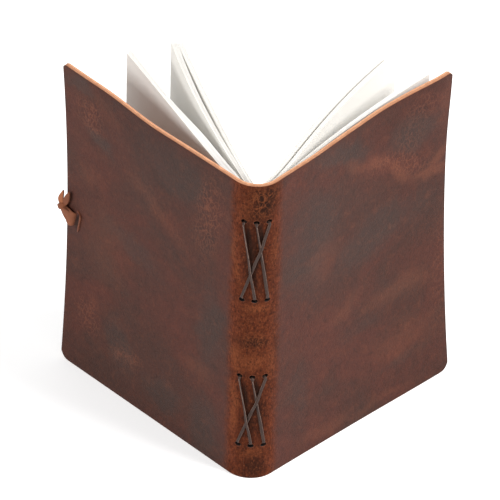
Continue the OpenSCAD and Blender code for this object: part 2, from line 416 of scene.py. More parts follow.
class Nodes:
    """Short hand for adding and linking shader nodes in one tree."""

    def __init__(self, tree: bpy.types.NodeTree) -> None:
        """Work in this node tree."""
        self.tree = tree

    def add(self, kind: str, **settings: object) -> bpy.types.Node:
        """Add a node and set its properties."""
        node = self.tree.nodes.new(kind)
        for name, value in settings.items():
            setattr(node, name, value)
        return node

    def feed(self, socket: bpy.types.NodeSocket, value: object) -> None:
        """Link an output to a socket, or set the socket to a plain value."""
        if value is None:
            return
        if isinstance(value, bpy.types.NodeSocket):
            self.tree.links.new(value, socket)
        else:
            socket.default_value = value

    def math(self, operation: str, a: object, b: object = None, clamp: bool = False) -> object:
        """Add a Math node and return its output."""
        node = self.add("ShaderNodeMath", operation=operation, use_clamp=clamp)
        self.feed(node.inputs[0], a)
        self.feed(node.inputs[1], b)
        return node.outputs[0]

    def vector(self, operation: str, a: object, b: object = None) -> bpy.types.NodeSocket:
        """Add a Vector Math node and return its vector output."""
        node = self.add("ShaderNodeVectorMath", operation=operation)
        self.feed(node.inputs[0], a)
        self.feed(node.inputs[1], b)
        return node.outputs["Value" if operation in ("LENGTH", "DOT_PRODUCT") else "Vector"]

    def mix(self, share: object, a: object, b: object) -> object:
        """Mix two colours and return the result."""
        node = self.add("ShaderNodeMix", data_type="RGBA")
        self.feed(node.inputs[0], share)
        self.feed(node.inputs[6], a)
        self.feed(node.inputs[7], b)
        return node.outputs[2]

    def span(self, value: object, low: float, high: float, to: tuple = (0, 1)) -> object:
        """Map a range of values to another, smoothly and clamped."""
        node = self.add("ShaderNodeMapRange", interpolation_type="SMOOTHSTEP")
        for socket, v in zip(node.inputs, (value, low, high, *to)):
            self.feed(socket, v)
        return node.outputs[0]

    def noise(self, vector: object, scale: object, detail: float = 3, rough: float = 0.55,
              bend: float = 0, output: str = "Fac") -> bpy.types.NodeSocket:
        """Add a noise texture and return its value or its colour."""
        node = self.add("ShaderNodeTexNoise")
        for name, v in (("Vector", vector), ("Scale", scale), ("Detail", detail),
                        ("Roughness", rough), ("Distortion", bend)):
            self.feed(node.inputs[name], v)
        return node.outputs[output]

    def cells(self, vector: object, scale: object) -> bpy.types.NodeSocket:
        """Add a net of cells and return the distance to their edges."""
        node = self.add("ShaderNodeTexVoronoi", feature="DISTANCE_TO_EDGE")
        self.feed(node.inputs["Vector"], vector)
        self.feed(node.inputs["Scale"], scale)
        return node.outputs["Distance"]

    def parts(self, vector: object) -> bpy.types.bpy_prop_collection:
        """Split a vector into its three numbers."""
        node = self.add("ShaderNodeSeparateXYZ")
        self.feed(node.inputs[0], vector)
        return node.outputs

    def group(self, tree: bpy.types.NodeTree, **values: object) -> bpy.types.Node:
        """Place a node group with its own values."""
        node = self.add("ShaderNodeGroup")
        node.node_tree = tree
        for name, value in values.items():
            self.feed(node.inputs[name.replace("_", " ")], value)
        return node


def effect(name: str, inputs: dict[str, str], outputs: dict[str, str]) -> tuple:
    """Start a shader node group with named sockets.

    Args:
        name: Name of the group.
        inputs: Socket type of each input, by name.
        outputs: Socket type of each output, by name.

    Returns:
        The tree, its Nodes helper, the input node's outputs and the output node's inputs.
    """
    tree = bpy.data.node_groups.new(name, "ShaderNodeTree")
    for label, kind in inputs.items():
        tree.interface.new_socket(name=label, in_out="INPUT", socket_type=kind)
    for label, kind in outputs.items():
        tree.interface.new_socket(name=label, in_out="OUTPUT", socket_type=kind)
    nodes = Nodes(tree)
    start = nodes.add("NodeGroupInput")
    end = nodes.add("NodeGroupOutput")
    return tree, nodes, start.outputs, end.inputs


VALUE, VECTOR = "NodeSocketFloat", "NodeSocketVector"
GRAIN, FLESH, RAW, PIERCED, TORN = range(5)


@dataclass
class Effects:
    """The shader node groups that several finishes share, each built once."""

    patch: bpy.types.NodeTree = field(init=False)
    grain: bpy.types.NodeTree = field(init=False)
    fibres: bpy.types.NodeTree = field(init=False)
    drift: bpy.types.NodeTree = field(init=False)
    crackle: bpy.types.NodeTree = field(init=False)

    def __post_init__(self) -> None:
        """Build the groups."""
        self.patch = self._patch()
        self.grain = self._grain()
        self.fibres = self._fibres()
        self.drift = self._drift()
        self.crackle = self._crackle()

    def _patch(self) -> bpy.types.NodeTree:
        """A soft-edged oval patch or streak, laid at a place and turned."""
        tree, n, given, out = effect(
            "soft_patch",
            {"Place": VECTOR, "Centre": VECTOR, "Turn": VALUE, "Reach": VECTOR},
            {"Mask": VALUE},
        )
        turn = n.add("ShaderNodeVectorRotate", rotation_type="AXIS_ANGLE")
        n.feed(turn.inputs["Vector"], n.vector("SUBTRACT", given["Place"], given["Centre"]))
        turn.inputs["Axis"].default_value = (0, 0, 1)
        n.feed(turn.inputs["Angle"], given["Turn"])
        scaled = n.vector("DIVIDE", turn.outputs[0], given["Reach"])
        n.feed(out["Mask"], n.span(n.vector("LENGTH", scaled), 1, 0.15))
        return tree

    def _drift(self) -> bpy.types.NodeTree:
        """Shift places about by noise, to make outlines ragged."""
        tree, n, given, out = effect(
            "ragged_drift",
            {"Place": VECTOR, "Scale": VALUE, "Amount": VALUE},
            {"Place": VECTOR},
        )
        noise = n.noise(given["Place"], given["Scale"], 4, 0.5, output="Color")
        shift = n.vector("SUBTRACT", noise, (0.5, 0.5, 0.5))
        scale = n.add("ShaderNodeVectorMath", operation="SCALE")
        n.feed(scale.inputs[0], shift)
        n.feed(scale.inputs["Scale"], given["Amount"])
        n.feed(out["Place"], n.vector("ADD", given["Place"], scale.outputs[0]))
        return tree

    def _crackle(self) -> bpy.types.NodeTree:
        """Fine broken veins, drawn out upwards, where waxed leather has been flexed."""
        tree, n, given, out = effect(
            "flex_crackle", {"Place": VECTOR, "Scale": VALUE}, {"Vein": VALUE}
        )
        drift = n.noise(given["Place"], 240, 3, 0.5, output="Color")
        shift = n.vector("MULTIPLY", drift, (0.004, 0.005, 0))
        bent = n.vector("MULTIPLY", n.vector("ADD", given["Place"], shift), (1, 0.7, 1))
        line = n.span(n.cells(bent, given["Scale"]), 0.14, 0.02)
        broken = n.span(n.noise(given["Place"], 260, 3, 0.6), 0.34, 0.50)
        n.feed(out["Vein"], n.math("MULTIPLY", line, broken))
        return tree

    def _grain(self) -> bpy.types.NodeTree:
        """Fine pebbled leather grain with shallow creases between the pebbles."""
        tree, n, given, out = effect(
            "leather_grain",
            {"Place": VECTOR, "Pebble": VALUE, "Crease": VALUE},
            {"Height": VALUE, "Valley": VALUE},
        )
        drift = n.noise(given["Place"], 260, 2, 0.5, output="Color")
        bent = n.vector("MULTIPLY_ADD", drift, (0.0022, 0.0022, 0.0022))
        n.feed(bent.node.inputs[2], given["Place"])
        cell = n.cells(bent, 1150)
        valley = n.span(cell, 0.16, 0.0)
        fine = n.noise(given["Place"], 2600, 3, 0.6)
        pebble = n.math("MULTIPLY", n.math("SUBTRACT", 1, valley), given["Pebble"])
        crease_line = n.span(n.cells(bent, 330), 0.07, 0.0)
        crease = n.math("MULTIPLY", crease_line, given["Crease"])
        height = n.math("SUBTRACT", n.math("ADD", pebble, n.math("MULTIPLY", fine, 0.35)), crease)
        n.feed(out["Height"], height)
        n.feed(out["Valley"], n.math("ADD", valley, crease, clamp=True))
        return tree

    def _fibres(self) -> bpy.types.NodeTree:
        """Loose short fibres drawn out along one direction."""
        tree, n, given, out = effect(
            "short_fibres",
            {"Place": VECTOR, "Stretch": VECTOR, "Scale": VALUE},
            {"Height": VALUE, "Fleck": VALUE},
        )
        drawn = n.vector("MULTIPLY", given["Place"], given["Stretch"])
        strand = n.noise(drawn, given["Scale"], 4, 0.7)
        n.feed(out["Height"], strand)
        n.feed(out["Fleck"], n.span(strand, 0.56, 0.74))
        return tree


def new_material(name: str) -> tuple[bpy.types.Material, Nodes, bpy.types.Node]:
    """Start a material with a Principled shader.

    Args:
        name: Name of the material.

    Returns:
        The material, its Nodes helper and its Principled node.
    """
    material = bpy.data.materials.new(name)
    material.use_nodes = True
    nodes = Nodes(material.node_tree)
    return material, nodes, material.node_tree.nodes["Principled BSDF"]


def place_of(n: Nodes) -> bpy.types.NodeSocket:
    """Read the place that each point of a piece came from."""
    node = n.add("ShaderNodeAttribute", attribute_type="GEOMETRY", attribute_name=PLACE)
    return node.outputs["Vector"]


def relief(n: Nodes, shader: bpy.types.Node, height: object, depth: float,
           strength: float = 1.0) -> None:
    """Feed a height into the shader's normal through a Bump node."""
    bump = n.add("ShaderNodeBump")
    bump.inputs["Strength"].default_value = strength
    bump.inputs["Distance"].default_value = depth
    n.feed(bump.inputs["Height"], height)
    n.feed(shader.inputs["Normal"], bump.outputs[0])


@dataclass(frozen=True)
class Patch:
    """One soft patch of the hide, in mm of the flat hide and degrees."""

    across: float
    height: float
    reach: float
    breadth: float
    turn: float = 0
    amount: float = 1


@dataclass(frozen=True)
class GrainFinish:
    """The outer, grain side: waxed leather that pales where it has been bent and rubbed, with painted
    shadow and shade in its colour.
    """

    wax: tuple = (0.042, 0.023, 0.018, 1)
    brown: tuple = (0.068, 0.027, 0.020, 1)
    red: tuple = (0.090, 0.029, 0.021, 1)
    rubbed: tuple = (0.215, 0.072, 0.040, 1)
    spine: tuple = (0.078, 0.016, 0.005, 1)
    spine_side: tuple = (0.165, 0.040, 0.017, 1)
    dark: tuple = (0.020, 0.008, 0.005, 1)
    lit: tuple = (0.250, 0.072, 0.027, 1)

    # Grey and waxy patches, paler rubbed ones, creased ones, painted shadows beside the threads
    # and in the strap's slit, bright burnished ones, and dark grease patches mixed with painted shade
    waxed: tuple[Patch, ...] = (
        Patch(-50, 160, 34, 22, -35, 1.0),
        Patch(-106, 145, 16, 8, -25, 0.9),
        Patch(-80, 94, 34, 10, -12, 0.6),
        Patch(-26, 80, 13, 40, 0, 0.9),
        Patch(-90, 30, 12, 26, 20, 0.8),
        Patch(-58, 20, 18, 12, 0, 0.8),
        Patch(-28, 18, 15, 30, 0, 0.8),
        Patch(-118, 172, 12, 7, 0, 0.8),
        Patch(34, 128, 26, 54, 0, 0.9),
        Patch(105, 152, 26, 17, -18, 1.1),
        Patch(82, 106, 46, 17, 4, 1.0),
        Patch(58, 166, 34, 10, -22, 0.8),
        Patch(66, 56, 24, 9, 0, 0.4),
        Patch(100, 22, 26, 5, 6, 0.5),
        Patch(28, 40, 12, 36, 0, 0.5),
    )
    pale: tuple[Patch, ...] = (
        Patch(-100, 84, 26, 34, 0, 0.35),
        Patch(-34, 50, 18, 9, 0, 0.5),
        Patch(-100, 166, 22, 7, -34, 0.4),
        Patch(-112, 118, 14, 12, 0, 0.4),
        Patch(-86, 26, 12, 4, 10, 0.4),
        Patch(-64, 128, 40, 7, -32, 0.35),
        Patch(82, 147, 15, 6, -50, 0.9),
        Patch(96, 133, 18, 6, -40, 0.9),
        Patch(118, 123, 20, 6, -8, 1.2),
        Patch(124, 130, 12, 5, 30, 1.0),
        Patch(68, 154, 18, 4, -24, 0.5),
        Patch(126, 160, 6, 26, 0, 0.4),
        Patch(44, 112, 16, 22, 0, 0.3),
        Patch(58, 74, 26, 9, 8, 0.45),
        Patch(100, 64, 34, 10, -6, 0.6),
        Patch(100, 34, 34, 18, 0, 0.5),
        Patch(46, 8, 24, 7, 0, 0.6),
        Patch(80, 5, 44, 4, 0, 0.4),
    )
    creased: tuple[Patch, ...] = (
        Patch(-28, 145, 14, 40, -8, 1.0),
        Patch(-112, 156, 14, 16, 20, 1.0),
        Patch(-112, 36, 14, 16, 0, 0.9),
        Patch(-84, 26, 20, 8, 20, 0.7),
        Patch(-60, 128, 44, 10, -32, 0.4),
        Patch(98, 138, 36, 12, -24, 1.0),
        Patch(112, 164, 22, 12, 0, 0.6),
        Patch(104, 150, 14, 16, 0, 0.5),
        Patch(0, 168, 14, 16, 0, 1.0),
        Patch(0, 84, 14, 30, 0, 0.5),
        Patch(126, 60, 8, 60, 0, 0.5),
    )
    # Painted shadows: dark streaks beside the thread legs, and painted shade in the gap of the strap's
    # slit.
    painted_shadows: tuple[Patch, ...] = (
        Patch(-2.9, 144, 18, 2.1, 96.8, 1.2),
        Patch(-1.6, 131, 18, 2.2, 96.8, 0.9),
        Patch(1.9, 149, 12, 2.2, 96.8, 1.2),
        Patch(3.9, 128, 22, 1.5, 96.8, 0.8),
        Patch(1.2, 134, 24, 1.5, 76.6, 0.8),
        Patch(-121.6, 85, 7, 2.4, 76, 1.8),
        Patch(-2.8, 50, 15, 2.0, 97.6, 1.0),
        Patch(-1.5, 40, 18, 2.2, 97.6, 0.7),
        Patch(2.0, 55, 11, 2.0, 97.6, 1.0),
        Patch(3.9, 38, 20, 1.4, 97.6, 0.7),
        Patch(1.2, 43, 20, 1.4, 75, 0.7),
    )
    burnished: tuple[Patch, ...] = (
        Patch(0, 104, 10, 5, 0, 0.9),
        Patch(-8, 72, 5, 10, 0, 0.9),
        Patch(0, 70, 11, 5.5, 0, 0.7),
        Patch(-9, 42, 3.4, 24, 0, 0.9),
        Patch(-8.5, 132, 2.8, 24, 0, 0.7),
        Patch(9.5, 136, 2.8, 20, 0, 0.5),
        Patch(0, 15.5, 10, 4, 0, 0.6),
        Patch(8, 68, 4, 12, 0, 0.6),
        Patch(-7, 160, 6, 8, 0, 0.4),
    )
    # Dark grease patches of the hide, apart from the two wide ones along the head, which are painted
    # shade, and the long one between the threads, which is partly painted shade.
    grease_and_shade: tuple[Patch, ...] = (
        Patch(3, 167, 13, 19, 0, 1.15),
        Patch(-76, 174, 60, 24, 0, 0.3),
        Patch(96, 172, 56, 26, 0, 0.3),
        Patch(9.5, 100, 4, 90, 0, 0.4),
        Patch(118, 90, 60, 130, 0, 0.22),
        Patch(-0.5, 134, 5, 32, 0, 0.9),
        Patch(0, 81, 10, 6, 0, 1.0),
        Patch(1, 8, 8, 11, 0, 0.85),
        Patch(2, 42, 7, 26, 0, 0.6),
        Patch(88, 168, 14, 3, -24, 0.3),
        Patch(-60, 148, 14, 6, -32, 0.3),
    )

    def _spread(self, n: Nodes, tree: bpy.types.NodeTree, place: object,
                patches: tuple[Patch, ...]) -> bpy.types.NodeSocket:
        """Add up a set of patches into one mask."""
        total = None
        for patch in patches:
            mask = n.group(
                tree,
                Place=place,
                Centre=(patch.across * MM, patch.height * MM, 0),
                Turn=-math.radians(patch.turn),
                Reach=(patch.reach * MM, patch.breadth * MM, 1),
            ).outputs[0]
            mask = n.math("MULTIPLY", mask, patch.amount)
            total = mask if total is None else n.math("MAXIMUM", total, mask)
        return total

    def _holes(self, n: Nodes, across: object, height: object) -> bpy.types.NodeSocket:
        """Mask of the stretched leather round the sewing holes."""
        half_gap = HIDE.column_turn * HIDE.spine_radius / 2
        off = n.math("ABSOLUTE", n.math("SUBTRACT", n.math("ABSOLUTE", across), half_gap))
        off = n.math("ABSOLUTE", n.math("SUBTRACT", off, half_gap))
        up = None
        for row in HIDE.rows:
            gap = n.math("ABSOLUTE", n.math("SUBTRACT", height, row))
            up = gap if up is None else n.math("MINIMUM", up, gap)
        away = n.math("SQRT", n.math("ADD", n.math("MULTIPLY", off, off),
                                     n.math("MULTIPLY", up, up)))
        return n.span(away, 2.0 * MM, 1.1 * MM)

    def material(self, effects: Effects) -> bpy.types.Material:
        """Build the material.

        Args:
            effects: The shared node groups.

        Returns:
            The grain side's material.
        """
        material, n, shader = new_material("leather_grain_side")
        place = place_of(n)
        across, _, height = n.parts(place)
        flat = n.add("ShaderNodeCombineXYZ")
        n.feed(flat.inputs[0], across)
        n.feed(flat.inputs[1], height)
        flat = flat.outputs[0]
        ragged = n.group(effects.drift, Place=flat, Scale=50, Amount=0.016).outputs[0]

        cloud = n.noise(flat, 24, 5, 0.58, 0.6)
        fine_cloud = n.noise(flat, 160, 5, 0.65, 0.4)
        streak_map = n.add("ShaderNodeMapping")
        n.feed(streak_map.inputs[0], flat)
        streak_map.inputs["Rotation"].default_value = (0, 0, math.radians(28))
        streak_map.inputs["Scale"].default_value = (14, 60, 1)
        streaks = n.noise(streak_map.outputs[0], 1, 5, 0.62, 0.5)
        waxed = n.math("ADD", self._spread(n, effects.patch, ragged, self.waxed),
                       n.span(cloud, 0.36, 0.70, (0, 0.4)), clamp=True)
        pale = n.math("ADD", self._spread(n, effects.patch, ragged, self.pale),
                      n.span(streaks, 0.5, 0.76, (0, 0.22)), clamp=True)
        grease_and_shade = self._spread(n, effects.patch, ragged, self.grease_and_shade)
        creased = self._spread(n, effects.patch, ragged, self.creased)
        painted_shadows = self._spread(n, effects.patch, flat, self.painted_shadows)
        burnished = self._spread(n, effects.patch, ragged, self.burnished)
        crackle = n.group(effects.crackle, Place=flat, Scale=480)
        vein = n.math("MULTIPLY", crackle.outputs["Vein"], creased)

        wide_drift = n.noise(flat, 120, 4, 0.7)
        spread = n.math("ABSOLUTE", n.math("ADD", across, n.math(
            "MULTIPLY", n.math("SUBTRACT", wide_drift, 0.5), 0.007)))
        band = n.span(spread, 15.5 * MM, 9 * MM)
        middle = n.span(spread, 9.5 * MM, 4 * MM)
        grain = n.group(effects.grain, Place=place, Pebble=0.6, Crease=0.5)
        valley = grain.outputs["Valley"]

        colour = n.mix(n.span(cloud, 0.32, 0.68), self.red, self.brown)
        colour = n.mix(n.math("MULTIPLY", waxed, 0.8), colour, self.wax)
        colour = n.mix(n.math("MULTIPLY", pale, 0.45), colour, self.rubbed)
        side = n.mix(n.span(fine_cloud, 0.35, 0.7), self.spine_side, self.spine)
        colour = n.mix(n.math("MULTIPLY", band, 0.9), colour,
                       n.mix(n.math("MULTIPLY", middle, 0.75), side, self.spine))
        colour = n.mix(n.math("MULTIPLY", burnished, 0.5), colour, self.lit)
        # Darkens the grease patches, with painted shade along the head and between the threads.
        colour = n.mix(n.math("MULTIPLY", grease_and_shade, 0.8, clamp=True), colour, self.dark)
        strand = n.group(effects.fibres, Place=place, Stretch=(1, 1, 0.5), Scale=1150)
        strand_height = strand.outputs["Height"]
        on_band = n.math("ADD", n.math("MULTIPLY", band, 0.75), 0.25)
        light = n.math("MULTIPLY", n.span(strand_height, 0.5, 0.7, (0, 0.5)), on_band)
        shade = n.math("MULTIPLY", n.span(strand_height, 0.5, 0.3, (0, 0.9)), on_band)
        colour = n.mix(light, colour, self.lit)
        colour = n.mix(shade, colour, self.dark)
        # Painted shadows beside the thread legs and in the strap's slit.
        colour = n.mix(n.math("MULTIPLY", painted_shadows, 0.95, clamp=True), colour, self.dark)
        colour = n.mix(n.span(fine_cloud, 0.5, 0.78, (0, 0.22)), colour, self.rubbed)
        colour = n.mix(n.span(fine_cloud, 0.48, 0.24, (0, 0.4)), colour, self.dark)
        colour = n.mix(n.math("MULTIPLY", vein, n.span(band, 0, 1, (0.5, 0.5))), colour,
                       n.mix(band, self.rubbed, self.lit))
        holes = self._holes(n, across, height)
        colour = n.mix(n.math("MULTIPLY", holes, 0.55), colour, self.rubbed)
        # Painted shade in the hollows of the grain and along its creases.
        colour = n.mix(n.math("MULTIPLY", valley, 0.3), colour, self.dark)
        n.feed(shader.inputs["Base Color"], colour)
        sheen = n.math("ADD", n.span(waxed, 0, 1, (0.60, 0.46)),
                       n.math("MULTIPLY", fine_cloud, 0.14))
        n.feed(shader.inputs["Roughness"], sheen)
        gloss = n.math("SUBTRACT", 1, n.math("MULTIPLY", band, 0.7))
        n.feed(shader.inputs["Specular IOR Level"], n.math("MULTIPLY", gloss, 0.13))
        height_map = n.math("SUBTRACT", grain.outputs["Height"], n.math("MULTIPLY", vein, 0.8))
        height_map = n.math("ADD", height_map, n.math("MULTIPLY", fine_cloud, 1.2))
        relief(n, shader, height_map, 0.12 * MM, 0.7)
        return material


@dataclass(frozen=True)
class FleshFinish:
    """The inner, flesh side: napped, plain and a little paler."""

    name: str = "leather_flesh_side"
    base: tuple = (0.22, 0.085, 0.042, 1)
    nap: tuple = (0.34, 0.15, 0.08, 1)

    def material(self, effects: Effects) -> bpy.types.Material:
        """Build the material of the flesh side."""
        material, n, shader = new_material(self.name)
        place = place_of(n)
        fibres = n.group(effects.fibres, Place=place, Stretch=(1, 1, 0.6), Scale=900)
        cloud = n.noise(place, 40, 4, 0.6)
        colour = n.mix(n.span(cloud, 0.35, 0.65), self.base, self.nap)
        colour = n.mix(n.math("MULTIPLY", fibres.outputs["Fleck"], 0.5), colour, self.nap)
        n.feed(shader.inputs["Base Color"], colour)
        n.feed(shader.inputs["Roughness"], n.span(fibres.outputs["Height"], 0, 1, (0.8, 0.95)))
        relief(n, shader, fibres.outputs["Height"], 0.25 * MM)
        return material


@dataclass(frozen=True)
class RawEdgeFinish:
    """A cut edge: pale undyed core with loose fibres, darker next to the grain side."""

    name: str = "leather_raw_edge"
    core: tuple = (0.68, 0.34, 0.185, 1)
    deep: tuple = (0.24, 0.078, 0.031, 1)

    def material(self, effects: Effects) -> bpy.types.Material:
        """Build the material of a cut edge."""
        material, n, shader = new_material(self.name)
        place = place_of(n)
        fibres = n.group(effects.fibres, Place=place, Stretch=(1, 2.2, 1), Scale=1500)
        cloud = n.noise(place, 240, 4, 0.7)
        colour = n.mix(n.span(cloud, 0.36, 0.62), self.core, self.deep)
        colour = n.mix(n.math("MULTIPLY", fibres.outputs["Fleck"], 0.6), self.core, colour)
        waver = n.math("MULTIPLY", n.math("SUBTRACT", n.noise(place, 330, 4, 0.7), 0.5), 2.4 * MM)
        depth = n.math("ADD", n.parts(place)[1], waver)
        colour = n.mix(n.span(depth, 0.1 * MM, -1.1 * MM, (0, 0.75)), colour, self.deep)
        off = n.math("ABSOLUTE", n.math("ADD", depth, 0.1 * MM))
        colour = n.mix(n.span(off, 0.4 * MM, 0.1 * MM, (0, 0.55)), colour, self.deep)
        n.feed(shader.inputs["Base Color"], colour)
        n.feed(shader.inputs["Roughness"], n.span(fibres.outputs["Height"], 0, 1, (0.7, 0.95)))
        relief(n, shader, fibres.outputs["Height"], 0.3 * MM)
        return material


@dataclass(frozen=True)
class PaperFinish:
    """Smooth white drawing paper with a faint tooth."""

    sheet: tuple = (0.96, 0.95, 0.925, 1)
    fleck: tuple = (0.92, 0.90, 0.86, 1)
    through: tuple = (0.97, 0.90, 0.79, 1)

    def material(self, effects: Effects) -> bpy.types.Material:
        """Build the paper's material."""
        material, n, shader = new_material("page_paper")
        place = place_of(n)
        fibres = n.group(effects.fibres, Place=place, Stretch=(1, 1, 1), Scale=1400)
        cloud = n.noise(place, 25, 3, 0.5)
        colour = n.mix(n.span(cloud, 0.3, 0.8, (0, 0.35)), self.sheet, self.fleck)
        n.feed(shader.inputs["Base Color"], colour)
        n.feed(shader.inputs["Roughness"], n.span(fibres.outputs["Height"], 0, 1, (0.75, 0.9)))
        relief(n, shader, fibres.outputs["Height"], 0.04 * MM, 0.5)
        lit = n.add("ShaderNodeBsdfTranslucent")
        lit.inputs["Color"].default_value = self.through
        mixed = n.add("ShaderNodeMixShader")
        mixed.inputs[0].default_value = 0.26
        n.feed(mixed.inputs[1], shader.outputs[0])
        n.feed(mixed.inputs[2], lit.outputs[0])
        n.feed(material.node_tree.nodes["Material Output"].inputs[0], mixed.outputs[0])
        return material


@dataclass(frozen=True)
class ThreadFinish:
    """Waxed flat thread, with its fibres along it and a painted highlight along its edges."""

    wax: tuple = (0.028, 0.014, 0.010, 1)
    # Paler fibre colour, which also serves as a painted highlight along the thread's edges.
    worn: tuple = (0.210, 0.135, 0.108, 1)

    def material(self, effects: Effects) -> bpy.types.Material:
        """Build the thread's material. Its place is along, around and nearness to an edge."""
        material, n, shader = new_material("waxed_thread")
        place = place_of(n)
        fibres = n.group(effects.fibres, Place=place, Stretch=(0.10, 1, 1), Scale=3600)
        # Pale fibres gather towards the thread's edges: partly fibre colour, partly a painted highlight.
        edge = n.span(n.parts(place)[2], 0.2 * MM, 0.98 * MM, (0.2, 1.7))
        worn = n.math("MULTIPLY", n.span(fibres.outputs["Height"], 0.36, 0.68), edge, clamp=True)
        colour = n.mix(worn, self.wax, self.worn)
        n.feed(shader.inputs["Base Color"], colour)
        n.feed(shader.inputs["Roughness"], n.span(fibres.outputs["Height"], 0, 1, (0.5, 0.8)))
        shader.inputs["Specular IOR Level"].default_value = 0.25
        relief(n, shader, fibres.outputs["Height"], 0.10 * MM)
        return material


# Leather


@dataclass
class LeatherHalf:
    """One half of the hide: a cover with its share of the spine, pierced and cut."""

    side: Side
    columns: tuple[int, ...]
    finishes: list[bpy.types.Material]
    seam_turn: float = math.radians(-12.93)
    hole_radius: float = 1.2 * MM
    hole_stretch: tuple[float, float, float] = (1.2, 0.95, 1)
    lip_gap: float = 0.3 * MM
    lip_radius: float = 0.22 * MM
    lip_sink: float = 0.06 * MM
    lip_rough: float = 0.035 * MM
    levels: int = 71
    spine_step: float = math.radians(2.1)
    cover_step: float = 2.5 * MM
    corner_columns: int = 7
    edge_round: float = 0.4 * MM
    hinge_before: float = 3.5 * MM
    hinge_after: float = 4.5 * MM
    slit_inset: float = 7 * MM
    slit_drop: float = 4 * MM
    slit_tilt: float = math.radians(15)
    slit_size: tuple[float, float, float] = (2.9 * MM, 7.5 * MM, 9.8 * MM)

    def build(self) -> bpy.types.Object:
        """Model the half from an upright edge: spin, extrude, thicken, pierce, round.

        Returns:
            The finished mesh object.
        """
        piece = self._sheet()
        places = HIDE.unfold(points_of(piece))
        places[:, 1] += HIDE.lift(places[:, 0], places[:, 2])
        set_points(piece, HIDE.fold(places))
        self._face_out(piece)
        give(piece, self.finishes, [GRAIN])
        thick = piece.modifiers.new("thick", "SOLIDIFY")
        thick.thickness = HIDE.thickness
        thick.offset = 0
        thick.use_even_offset = True
        thick.material_offset = FLESH
        thick.material_offset_rim = RAW
        finish_modifiers(piece)
        self._cut(piece)
        self._round_edges(piece)
        piece = join([piece, *self._lips()], piece.name)
        places = HIDE.unfold(points_of(piece))
        places[:, 1] -= HIDE.lift(places[:, 0], places[:, 2])
        write_place(piece, places)
        smooth(piece, 40)
        STANCE.settle(piece)
        return piece

    def _sheet(self) -> bpy.types.Object:
        """Draw the middle of the leather as an open sheet of quads."""
        seam = HIDE.spine_radius * Vector((math.sin(self.seam_turn), 1 - math.cos(self.seam_turn), 0))
        half = HIDE.height / 2
        clear_selection()
        bpy.ops.mesh.primitive_plane_add(
            size=HIDE.height,
            location=seam + Vector((self.side.value * half, 0, half)),
            rotation=(math.pi / 2, 0, 0),
        )
        piece = name_new(f"leather_{self.side.name.lower()}_half")
        bpy.ops.object.transform_apply(location=True, rotation=True, scale=True)
        for vertex in piece.data.vertices:
            vertex.select = abs(vertex.co.x - seam.x) > half
        self._only_vertices(piece)
        bpy.ops.mesh.delete(type="VERT")
        bpy.ops.mesh.select_all(action="SELECT")
        bpy.ops.mesh.subdivide(number_cuts=self.levels - 1)
        span = self.side.value * HIDE.spine_turn - self.seam_turn
        steps = max(2, round(abs(span) / self.spine_step))
        bpy.ops.mesh.spin(
            steps=steps,
            angle=span,
            center=(0, HIDE.spine_radius, 0),
            axis=(0, 0, -1),
        )
        self._extrude_cover()
        bpy.ops.mesh.select_all(action="SELECT")
        bpy.ops.mesh.remove_doubles(threshold=0.01 * MM)
        bpy.ops.object.mode_set(mode="OBJECT")
        return piece

    def _only_vertices(self, piece: bpy.types.Object) -> None:
        """Enter edit mode with only the flagged vertices selected."""
        flags = [v.select for v in piece.data.vertices]
        take(piece)
        bpy.ops.object.mode_set(mode="EDIT")
        bpy.ops.mesh.select_mode(type="VERT")
        bpy.ops.mesh.select_all(action="DESELECT")
        bpy.ops.object.mode_set(mode="OBJECT")
        piece.data.vertices.foreach_set("select", flags)
        bpy.ops.object.mode_set(mode="EDIT")

    def _extrude_cover(self) -> None:
        """Extrude the upright edge to the fore-edge, trimming it at the round corners."""
        corner = max(HIDE.tail_corner, HIDE.head_corner)
        plain = HIDE.cover_width - corner
        count = round(plain / self.cover_step)
        stops = [plain * (i + 1) / count for i in range(count)]
        stops += [
            HIDE.cover_width - corner * (1 - math.sin(math.pi / 2 * (i + 1) / self.corner_columns))
            for i in range(self.corner_columns)
        ]
        direction = HIDE.along(self.side)
        at, low, high = 0.0, 0.0, HIDE.height
        for stop in stops:
            step = direction * (stop - at)
            bpy.ops.mesh.extrude_region_move(TRANSFORM_OT_translate={"value": step})
            new_low = HIDE.corner_trim(stop, HIDE.tail_corner)
            new_high = HIDE.height - HIDE.corner_trim(stop, HIDE.head_corner)
            if (new_low, new_high) != (low, high):
                share = (new_high - new_low) / (high - low)
                middle = HIDE.hinge(self.side) + direction * stop
                middle.z = low
                bpy.ops.transform.resize(value=(1, 1, share), center_override=middle)
                bpy.ops.transform.translate(value=(0, 0, new_low - low))
            at, low, high = stop, new_low, new_high

    def _face_out(self, piece: bpy.types.Object) -> None:
        """Turn the sheet's faces away from the pages."""
        face = piece.data.polygons[0]
        outward = face.center - Vector((0, HIDE.spine_radius, face.center.z))
        if face.normal.dot(outward) < 0:
            piece.data.flip_normals()

    def _cut(self, piece: bpy.types.Object) -> None:
        """Pierce the sewing holes, and the strap's slit in the back cover."""
        tools = []
        for column in self.columns:
            turn = column * HIDE.column_turn
            for z in HIDE.rows:
                out = Vector((math.sin(turn), -math.cos(turn), 0))
                clear_selection()
                bpy.ops.mesh.primitive_cylinder_add(
                    vertices=24,
                    radius=self.hole_radius,
                    depth=3 * HIDE.thickness,
                    location=Vector((0, HIDE.spine_radius, z)) + out * HIDE.spine_radius,
                    rotation=out.to_track_quat("Z", "Y").to_euler(),
                    scale=self.hole_stretch,
                )
                tools.append(name_new("awl"))
        if self.side is Side.BACK:
            tools.append(self._slit_tool())
        cutter = join(tools, "awls")
        bpy.ops.object.transform_apply(location=True, rotation=True, scale=True)
        # The cut walls take the near-black finish of painted shade inside the holes and the slit.
        give(cutter, self.finishes, [PIERCED])
        cut = piece.modifiers.new("cut", "BOOLEAN")
        cut.object = cutter
        cut.solver = "EXACT"
        finish_modifiers(piece)
        bpy.data.objects.remove(cutter)

